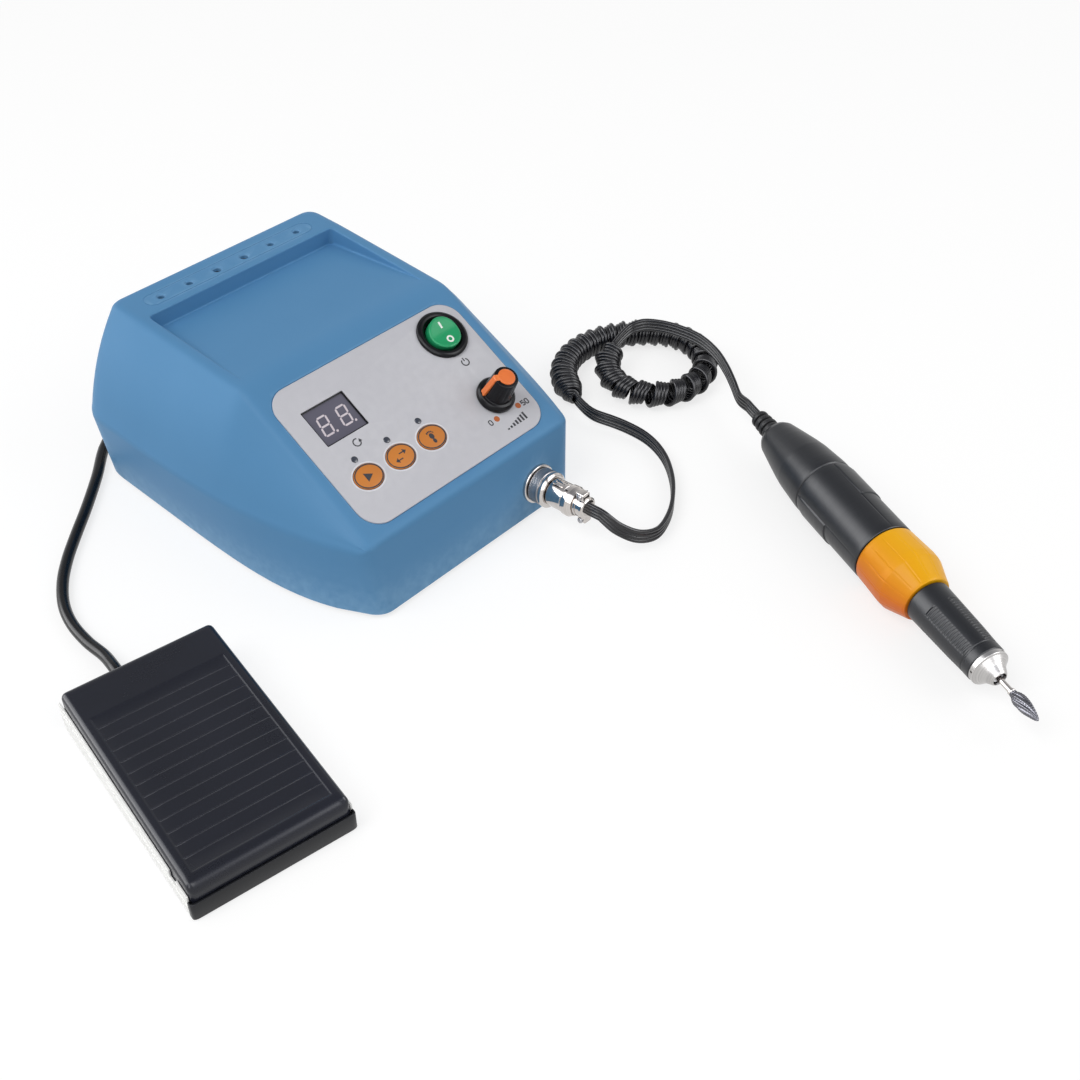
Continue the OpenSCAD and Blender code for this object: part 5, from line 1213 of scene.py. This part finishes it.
def make_socket_and_plug():
    flange = [(0, -10.6), (6.4, -10.6), (6.4, 0), (9.0, 0)] + eased(
        [(9.0, 0), (9.0, 1.6, 0.5), (7.2, 1.6)])[1:] + [(6.4, 1.6), (6.4, 7.2), (6.1, 7.5), (5.2, 7.5),
                                                         (5.2, 2.5), (0, 2.5)]
    pins = [moved(rod(0.5, 2.0, 5.5, 12), spun("Z", a) @ set_at(2.6, 0, 0)) for a in (30, 150, 270)]
    piece("front_socket_body", joined(turned(flange, 72), *pins), NICKEL, SOCKET,
          stands_for="front_socket")
    outer = eased([(6.55, 2.0), (7.8, 2.0, 0.2), (8.0, 2.4, 0.2), (8.0, 6.9, 0.2), (7.5, 7.2)], steps=2)
    ring = turned(resampled(outer, 0.32) + [(6.55, 7.2)], 264, knurled)
    coupling = piece("coupling_nut", ring, MATTE_NICKEL, SOCKET, "coupling", "coupling_ring",
                     crisp=50)
    lip = eased([(7.5, 7.2), (7.9, 7.4, 0.1), (8.15, 8.0, 0.3), (8.15, 9.1, 0.4), (7.3, 10.0, 0.4),
                 (5.3, 10.0)], steps=4) + [(5.3, 8.2), (6.55, 8.2), (6.55, 7.2)]
    coupling_lip = piece("coupling_lip", turned(lip, 96), NICKEL, SOCKET, "coupling")
    sleeve = [(0, 3.5), (5.0, 3.5), (5.0, 10.4)] + eased(
        [(5.0, 10.4), (6.0, 10.4, 0.1), (6.4, 10.9, 0.1), (6.4, 18.6, 0.1), (6.15, 18.8, 0.05),
         (6.15, 19.1, 0.05), (6.95, 19.5, 0.3), (6.95, 21.9, 0.3), (5.6, 24.2, 0.5), (4.6, 24.4)],
        steps=3)[1:] + [(0, 24.4)]
    slot = moved(slab(rounded(0.6, 5.4, 0.28, 4), 5.9, 8, 0), spun("X", -90) @ set_at(0, -14.4, 0))
    slots = [moved(slot, spun("Z", a)) for a in (164, 180, 196, 344, 0, 16)]
    plug = piece("plug_sleeve", carved(turned(sleeve, 96), *slots), NICKEL, SOCKET,
                 stands_for="plug_body", crisp=30)
    saddle = turned(eased([(0, 24.4), (4.6, 24.4), (4.6, 29.3, 0.5), (3.9, 29.9, 0.2), (0, 29.9)]), 64)
    ears = []
    for s in (-1, 1):
        plate = slab(rounded(4.4, 4.2, 0.9, 5), -1.95, 1.95, 0.3, 0.3)
        ears.append(moved(plate, set_at(0, s * 5.4, 27.15)))
    ribs = [turned([(4.3, z), (4.95, z + 0.1), (4.95, z + 0.9), (4.3, z + 1.0)], 64) for z in (24.9, 28.3)]
    clamp = piece("cord_saddle", joined(saddle, *ears, *ribs), NICKEL, SOCKET,
                  stands_for="cord_clamp")
    screws = []
    for y in (-6, 6):
        head = turned(eased([(0, 2.2), (1.3, 2.2, 0.1), (1.3, 3.1, 0.4), (0, 3.5)]), 28)
        slot_tool = slab(rounded(0.35, 4, 0.1, 2), 3.1, 5, 0)
        shank = rod(0.7, -3, 2.4, 16)
        screws.append(moved(joined(carved(head, slot_tool), shank), set_at(0, y, 27.15) @ spun("Y", -90)))
    screws = piece("saddle_screws", joined(*screws), STEEL, SOCKET, stands_for="clamp_screws")
    return [coupling, coupling_lip, plug, clamp, screws]


def gland(tip, length, ribs, bore):
    """A rubber sleeve that stands out of a wall, with its ribs and its flange."""
    profile = [(bore, -4.6), (6, -4.6), (6, -2.6), (5, -2.6), (5, 0)]
    profile += eased([(5, 0), (7, 0), (7, 2.0, 0.6), (5.7, 2.0)])[1:]
    for k in range(ribs):
        z = 2.6 + (length - 3.6) * k / ribs
        r = 5.6 + (tip - 5.6) * z / length
        gap = (length - 3.6) / ribs
        profile += [(r, z), (r, z + gap * 0.55), (r - 0.7, z + gap * 0.62), (r - 0.7, z + gap * 0.93)]
    profile += eased([(tip, length - 1.0), (tip, length, 0.4), (max(bore, 0.5), length)])
    profile += [(bore, length)]
    return turned(profile, 48)


plug_pieces = make_socket_and_plug()
piece("mains_lead_gland", gland(5.0, 12, 4, 3.5), RUBBER, rear(*MAINS_INLET),
      stands_for="mains_gland")
piece("pedal_cord_gland", gland(3.2, 15, 5, 0), RUBBER, rear(*PEDAL_INLET),
      stands_for="pedal_inlet")


# ---------------------------------------------------------------- handpiece

def make_relief():
    profile = [(0, 5), (6, 5), (6, 3), (5, 3), (5, -0.4)]
    for i in range(4):
        z, r = -0.9 - i * 3.4, 4.9 - 0.25 * i
        profile += [(r - 1.0, z), (r - 1.0, z - 1.0)]
        profile += [(r - 0.2, z - 1.2), (r, z - 1.7), (r, z - 2.7), (r - 0.2, z - 3.2)]
    profile += [(3.6, -14.6), (3.4, -15), (0, -15)]
    piece("tail_relief", turned(profile, 48), RUBBER, HANDPIECE,
          stands_for="strain_relief")


def make_motor():
    tail = eased([(5.9, 0), (7.6, 0.2, 0.8), (8.9, 2.6, 1.5), (10.8, 11.9, 12), (12.2, 19), (13.1, 24.6, 14),
                  (13.9, 34, 14), (14.2, 38), (14.2, 40.5, 0.3), (13.7, 41)], steps=5)
    inside = [(12.2, 41), (12.2, 44), (10.4, 44), (10.4, 24.6), (8.8, 12.3), (6, 5), (6, 3), (5, 3), (5, 0)]
    piece("tail_cap", turned(tail + inside, 96), SATIN_BLACK, HANDPIECE,
          stands_for="rear_cap", crisp=30)
    case = eased([(12.2, 41), (13.6, 41, 0.1), (14.2, 41.6, 0.3), (14.2, 44.8), (14.2, 62.8), (14.2, 63.1),
                  (14.2, 82.2), (14.2, 86.2, 0.3), (13.9, 86.5, 0.1), (4, 86.5)], steps=2)
    bore = [(4, 85.5), (5, 85.5), (5, 82.5), (12.2, 82.5)]
    middle, reach, rear_end = math.radians(127.6), math.radians(46), 63

    def landed(r, z, a):
        """A raised land on each side of the rear half, and a fine line that runs on from its edges."""
        if r < 14.15 or not 41.8 < z < 85.9:
            return r
        off = abs((a - middle + math.pi / 2) % math.pi - math.pi / 2)
        land = 0.45 * min(1, max(0, (reach - off) / 0.03)) if z < rear_end else 0
        return r + land - 0.16 * math.exp(-((off - reach) / 0.022) ** 2)

    piece("motor_sleeve", turned(case + bore, 288, landed), SATIN_BLACK, HANDPIECE,
          stands_for="motor_case", crisp=30)


def make_chuck():
    start, length = 86.8, 29.3
    outside = eased([(11.6, start), (13.6, start, 0.1), (14.2, start + 0.8, 0.4), (14.95, start + 15.0, 8),
                     (14.75, start + 18.3, 2.0), (11.0, start + length - 0.8, 1.0),
                     (10.5, start + length, 0.2), (7.5, start + length)], steps=6)
    inside = [(7.5, start + length - 12), (11.6, start + length - 12)]

    def fluted(r, z, a):
        """Flat sides with a fine line at each edge."""
        if r < 10.8 or not start + 1 < z < start + length - 0.9:
            return r
        sides, fade = 16, min(1, (z - start - 1) / 5)
        off = (a * sides / math.tau) % 1 - 0.5
        edge = (0.5 - abs(off)) * math.tau / sides * r
        return r - fade * (0.1 * math.cos(math.pi * off) + 0.2 * math.exp(-(edge / 0.28) ** 2))

    piece("chuck_sleeve", turned(resampled(outside, 1.2) + inside, 320, fluted), CHUCK_ORANGE, HANDPIECE,
          "chuck", "chuck_ring", crisp=40)


def make_nose():
    start, length = 116.4, 38.3
    outside = eased([(7.4, start), (9.2, start, 0.1), (9.6, start + 0.5, 0.2), (8.95, start + 25, 20),
                     (8.55, start + 33.2, 0.3), (8.3, start + 33.5, 0.1), (8.3, start + 34.0, 0.1),
                     (8.55, start + 34.3, 0.1), (8.5, start + 37.8, 0.2), (8.1, start + length, 0.1),
                     (7.4, start + length)], steps=4)
    middle = math.radians(230)

    def grooved(r, z, a):
        along = z - start
        if r < 8.2 or not 9.5 < along < 32.6:
            return r
        patch = min(1, max(0, 5 * (math.cos(5 * (a - middle)) - 0.2)))
        return r - 0.32 * patch * (0.5 - 0.5 * math.cos(math.tau * along / 1.45)) ** 1.5

    piece("nose_grip", turned(resampled(outside, 0.2), 120, grooved), SATIN_BLACK, HANDPIECE,
          stands_for="nose_sleeve", crisp=50)
    tip = start + length
    profile = eased([(4.8, tip), (8.3, tip), (8.3, tip + 1.9, 0.3), (7.5, tip + 2.4, 0.3),
                     (5.2, tip + 4.6, 3.0), (3.7, tip + 7.4, 0.6), (3.2, tip + 8.0, 0.1),
                     (2.9, tip + 8.0)], steps=5)
    cone = turned(profile + [(2.9, tip + 3), (4.8, tip + 3)], 72)
    holes = [moved(rod(0.55, 7.4, 9.5, 20), set_at(0, 0, tip + 1.0) @ spun("Z", a) @ spun("Y", 90))
             for a in (25, 145, 265)]
    piece("nose_cone", carved(cone, *holes), SATIN_NICKEL, HANDPIECE,
          stands_for="nose_cap")
    jaws = carved(rod(2.35, 138.7, 161.7, 48, 0.3), rod(1.2, 140.7, 165, 24),
                  *[moved(slab([(0, -0.2), (4, -0.2), (4, 0.2), (0, 0.2)], 153.7, 166, 0), spun("Z", a))
                    for a in (0, 120, 240)])
    piece("collet_jaws", jaws, STEEL, HANDPIECE, "rotor", "collet")


def make_bur():
    head, length, r = 170.2, 15.0, 2.9
    flame = [(0.52, 0), (0.6, 0.06), (0.86, 0.16), (0.97, 0.25), (1.0, 0.33), (0.98, 0.43), (0.93, 0.53),
             (0.83, 0.63), (0.71, 0.73), (0.55, 0.82), (0.4, 0.9), (0.22, 0.97)]

    def cut(s, z, a):
        if z < head + 0.5:
            return s
        blade = math.cos(9 * (a + 0.1 * (z - head)))
        nick = math.cos(14 * math.tau * (z - head) / length - 5 * a)
        return s * (0.93 + 0.07 * blade) - 0.1 * (0.5 + 0.5 * nick)

    outline = resampled([(r * a, head + length * b) for a, b in flame], 0.25)
    piece("carbide_bur", turned([(0, head)] + outline + [(0, head + length)], 90, cut), BUR_STEEL, HANDPIECE,
          "rotor", "bur", crisp=45)
    shank = [(0, 140.7), (1.175, 140.7), (1.175, head - 1.4), (1.6, head - 1.0), (1.6, head - 0.3),
             (1.4, head), (1.4, head + 0.3), (0, head + 0.3)]
    piece("bur_shank", turned(shank, 48), NICKEL, HANDPIECE, "rotor")


make_relief()
make_motor()
make_chuck()
make_nose()
make_bur()


# ---------------------------------------------------------------- foot pedal

COVER_HALF, COVER_Y0, COVER_Y1, COVER_Z0, COVER_Z1 = 30.95, -51.3, 51.0, 16.0, 21.2
COVER_CORNER, SIDE_ROUND, FRONT_ROUND, COVER_WALL = 2.4, 2.6, 4.6, 1.6
TREAD_HALF, TREAD_Y0, TREAD_Y1, RIBS, RIB_HALF = 27.0, -45.9, 33.0, 12, 0.45
# Places along the pedal of its hinge, return spring and switch
HINGE_Y, SPRING_Y, SWITCH_Y = 44.5, -25, 10
RIB_YS = [TREAD_Y0 + (TREAD_Y1 - TREAD_Y0) * k / (RIBS + 1) + RIB_HALF for k in range(1, RIBS + 1)]


def cover_plane(y):
    return COVER_Z0 + (COVER_Z1 - COVER_Z0) * (y - COVER_Y0) / (COVER_Y1 - COVER_Y0)


def cover_hem(y):
    """The treadle's lower edge; it stays clear of the base's rear wall."""
    return 11.3 if y > COVER_Y1 - 2.3 else 7.2 + 2.7 * (y - COVER_Y0) / (COVER_Y1 - COVER_Y0)


def tread_relief(x, y):
    """How far the tread lies below the treadle's top: a sunk field with narrow round ribs across it."""
    inside = min(TREAD_HALF - abs(x), y - TREAD_Y0, TREAD_Y1 - y)
    sunk = 0.4 * min(1, max(0, inside / 0.9))
    near = min(abs(y - rib) for rib in RIB_YS)
    if inside > 0.85:
        sunk -= 0.34 * max(0, 1 - (near / RIB_HALF) ** 2)
    return sunk


def cover_lines():
    """Rows and columns of the treadle's top, close together where it rounds and where the ribs are."""
    edge = [0, 0.06, 0.25, 0.55, 1.0, 1.6, 2.3, 3.2, 4.0, 4.7]
    step = [-0.5, 0, 0.2, 0.4, 0.5, 0.9]
    xs = [COVER_HALF - d for d in edge if d < 3.1] + [TREAD_HALF - d for d in step] + [20, 13, 6]
    xs = xs + [-x for x in reversed(xs)]
    ys = [COVER_Y0 + d for d in edge if d < 3.9] + [COVER_Y1 - d for d in edge]
    ys += [TREAD_Y0 + d for d in step] + [TREAD_Y1 - d for d in step] + [36, 40, 44]
    for rib in RIB_YS:
        ys += [rib + RIB_HALF * d for d in (-1.2, -1, -0.92, -0.7, -0.35, 0, 0.35, 0.7, 0.92, 1, 1.2)]
    return xs, sorted(set(round(y, 4) for y in ys))


def edge_drop(x, y):
    """How far the treadle's rounded rim lies below its top; the front rounds more than the sides."""
    dx, dy = COVER_CORNER - (COVER_HALF - abs(x)), COVER_CORNER - min(y - COVER_Y0, COVER_Y1 - y)
    front = FRONT_ROUND if y < 0 else SIDE_ROUND
    if dx > 0 and dy > 0:
        far = COVER_CORNER - math.hypot(dx, dy)
        r = SIDE_ROUND + (front - SIDE_ROUND) * dy * dy / (dx * dx + dy * dy)
        return r - math.sqrt(max(0, r * r - max(0, r - far) ** 2))
    drops = [(SIDE_ROUND, COVER_HALF - abs(x)), (front, min(y - COVER_Y0, COVER_Y1 - y))]
    return max(r - math.sqrt(max(0, r * r - max(0, r - far) ** 2)) for r, far in drops)


def make_treadle():
    xs, ys = cover_lines()
    m, n, r = len(xs), len(ys), COVER_CORNER

    def corner(x, y):
        """Pulls the square corners of the grid in to round ones."""
        dx, dy = r - (COVER_HALF - abs(x)), r - min(y - COVER_Y0, COVER_Y1 - y)
        if dx <= 0 or dy <= 0:
            return x, y
        scale = max(dx, dy) / math.hypot(dx, dy)
        sx, sy = math.copysign(1, x), (-1 if y < 0 else 1)
        cx, cy = COVER_HALF - r, (COVER_Y0 + r if sy < 0 else COVER_Y1 - r)
        return sx * (cx + dx * scale), cy + sy * dy * scale

    top = []
    for y in ys:
        for x in xs:
            px, py = corner(x, y)
            top.append(Vector((px, py, cover_plane(py) - edge_drop(px, py) - tread_relief(px, py))))
    faces = [(j * m + i, j * m + i + 1, (j + 1) * m + i + 1, (j + 1) * m + i)
             for j in range(n - 1) for i in range(m - 1)]
    rim = (list(range(m)) + [j * m + m - 1 for j in range(1, n)]
           + [(n - 1) * m + i for i in range(m - 2, -1, -1)] + [j * m for j in range(n - 2, 0, -1)])
    points = list(top)
    hem = []
    for number in rim:
        p = top[number]
        hem.append(len(points))
        points.append(Vector((p.x, p.y, cover_hem(p.y))))
    faces += bridged(rim, hem)
    inner_hem, inner_top = [], []
    kx, ky = 1 - COVER_WALL / COVER_HALF, 1 - 2 * COVER_WALL / (COVER_Y1 - COVER_Y0)
    middle = (COVER_Y0 + COVER_Y1) / 2
    for lift in (False, True):
        for number in rim:
            p = top[number]
            x, y = p.x * kx, middle + (p.y - middle) * ky
            (inner_top if lift else inner_hem).append(len(points))
            points.append(Vector((x, y, cover_plane(y) - COVER_WALL if lift else cover_hem(y))))
    faces += bridged(hem, inner_hem) + bridged(inner_hem, inner_top) + [tuple(inner_top)]
    knuckle = slab(rounded(4, 6.8, 0.4, 3), 8.1, 17.8, 0)
    knuckles = [moved(knuckle, set_at(x, HINGE_Y, 0)) for x in (-24.4, 24.4)]
    seat = turned([(6.3, 12.2), (7.3, 12.2), (7.3, 16.1), (6.3, 16.1)], 48)
    seat = moved(seat, set_at(0, SPRING_Y, 0))
    pusher = moved(rod(3, 12.4, 16.4, 24), set_at(0, SWITCH_Y, 0))
    piece("treadle_cover", joined((points, faces), *knuckles, seat, pusher), TREADLE_BLACK, PEDAL, "treadle",
          "pedal_cover", crisp=35)


def make_pedal_base():
    half, tray, y, lip, skin = 32.0, 31.15, PEDAL_END_Y, 2.6, 1.05
    floor = slab(rounded(2 * tray - 0.1, 2 * y - 2.4, 1.2, 4), 1.5, 2.7, 0)
    wall_line = eased([(-half, lip), (-half, 0, 2.8), (half, 0, 2.8), (half, lip), (tray, lip),
                       (tray, skin, 1.9), (-tray, skin, 1.9), (-tray, lip)], closed=True, steps=6)
    front = moved(slab(wall_line, 0.3, 8.5, 0.35, 0.3), set_at(0, -y, 0))
    back = moved(slab(rounded(2 * tray - 0.1, 1.3, 0.5, 3), 1.5, 11, 0.4), set_at(0, y - 0.65, 0))
    back = carved(back, moved(rod(2.8, 40, 60, 28), set_at(PEDAL_TAIL_X, 0, PEDAL_TAIL_Z) @ spun("X", -90)))
    lugs = []
    for x in (-20, 20):
        ear = eased([(-3.4, 2.2), (3.4, 2.2), (3.4, 14.9, 3.3), (-3.4, 14.9, 3.3)], closed=True)
        lugs.append(moved(slab(ear, -2, 2, 0.2, 0.2), set_at(x, HINGE_Y, 0) @ spun("Z", 90) @ spun("X", 90)))
    piece("pedal_tray", joined(floor, front, back, *lugs), BLACK_PLASTIC, PEDAL,
          stands_for="pedal_base")
    start, low, high, band = lip - y + 0.05, 10.9, 15.0, 4.9
    notch = start + 8
    side = eased([(start, 0.6, 0.3), (y, 0.6, 0.3), (y, high, 0.8), (notch + 5, low + 0.5, 0.4),
                  (notch + 5, low - 3.2, 0.3), (notch, low - 3.2, 0.3), (notch, low + 0.3, 0.4),
                  (start, low, 0.4)], closed=True, steps=3)
    foot = eased([(start, 0.6), (y, 0.6), (y, high - band), (start, low - band)], closed=True)
    rails = []
    for s in (-1, 1):
        turn = set_at(s * tray, 0, 0) @ spun("Z", 90) @ spun("X", 90)
        for line, near, far, edge in ((side, 0.0, 0.75, 0.15), (foot, 0.7, 0.95, 0.1)):
            rails.append(moved(slab(line, *sorted((s * near, s * far)), edge, edge), turn))
    piece("pedal_side_rails", joined(*rails), RAIL, PEDAL, stands_for="side_rails")


def make_pedal_gland():
    profile = [(0, -3.1), (3.2, -3.1), (3.2, -1.6), (2.8, -1.6), (2.8, 0), (3.8, 0), (3.75, 1.2), (3.3, 1.4),
               (3.3, 2.0), (3.6, 2.2), (3.55, 3.4), (3.1, 3.6), (3.1, 4.2), (3.4, 4.4), (3.3, 6.6), (3.0, 7),
               (0, 7)]
    piece("pedal_tail_gland", turned(profile, 40), RUBBER,
          PEDAL @ set_at(PEDAL_TAIL_X, PEDAL_END_Y, PEDAL_TAIL_Z) @ spun("X", -90),
          stands_for="pedal_gland")


make_treadle()
make_pedal_base()
make_pedal_gland()


# ---------------------------------------------------------------- nodes that keep their own shape

NODE_LOOKS = {
    BLACK_PLASTIC: ["base_plate", "key_switches", "pedal_switch", "brush_holder"],
    RUBBER: ["rubber_feet", "pedal_feet"],
    STEEL: ["base_screws", "bur_bushes", "speed_pot", "pot_shaft", "socket_nut", "bearings", "drive_coupling",
            "spindle_housing", "spindle", "pedal_hinge_pin", "pedal_spring", "coil_tie"],
    BOARD_GREEN: ["panel_board", "main_board"],
    IRON: ["transformer", "stator_magnets"],
    COPPER: ["armature"],
    CARBON: ["carbon_brushes"],
}
for look, names in NODE_LOOKS.items():
    for name in names:
        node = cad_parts[name]
        node.data.materials.clear()
        node.data.materials.append(look)
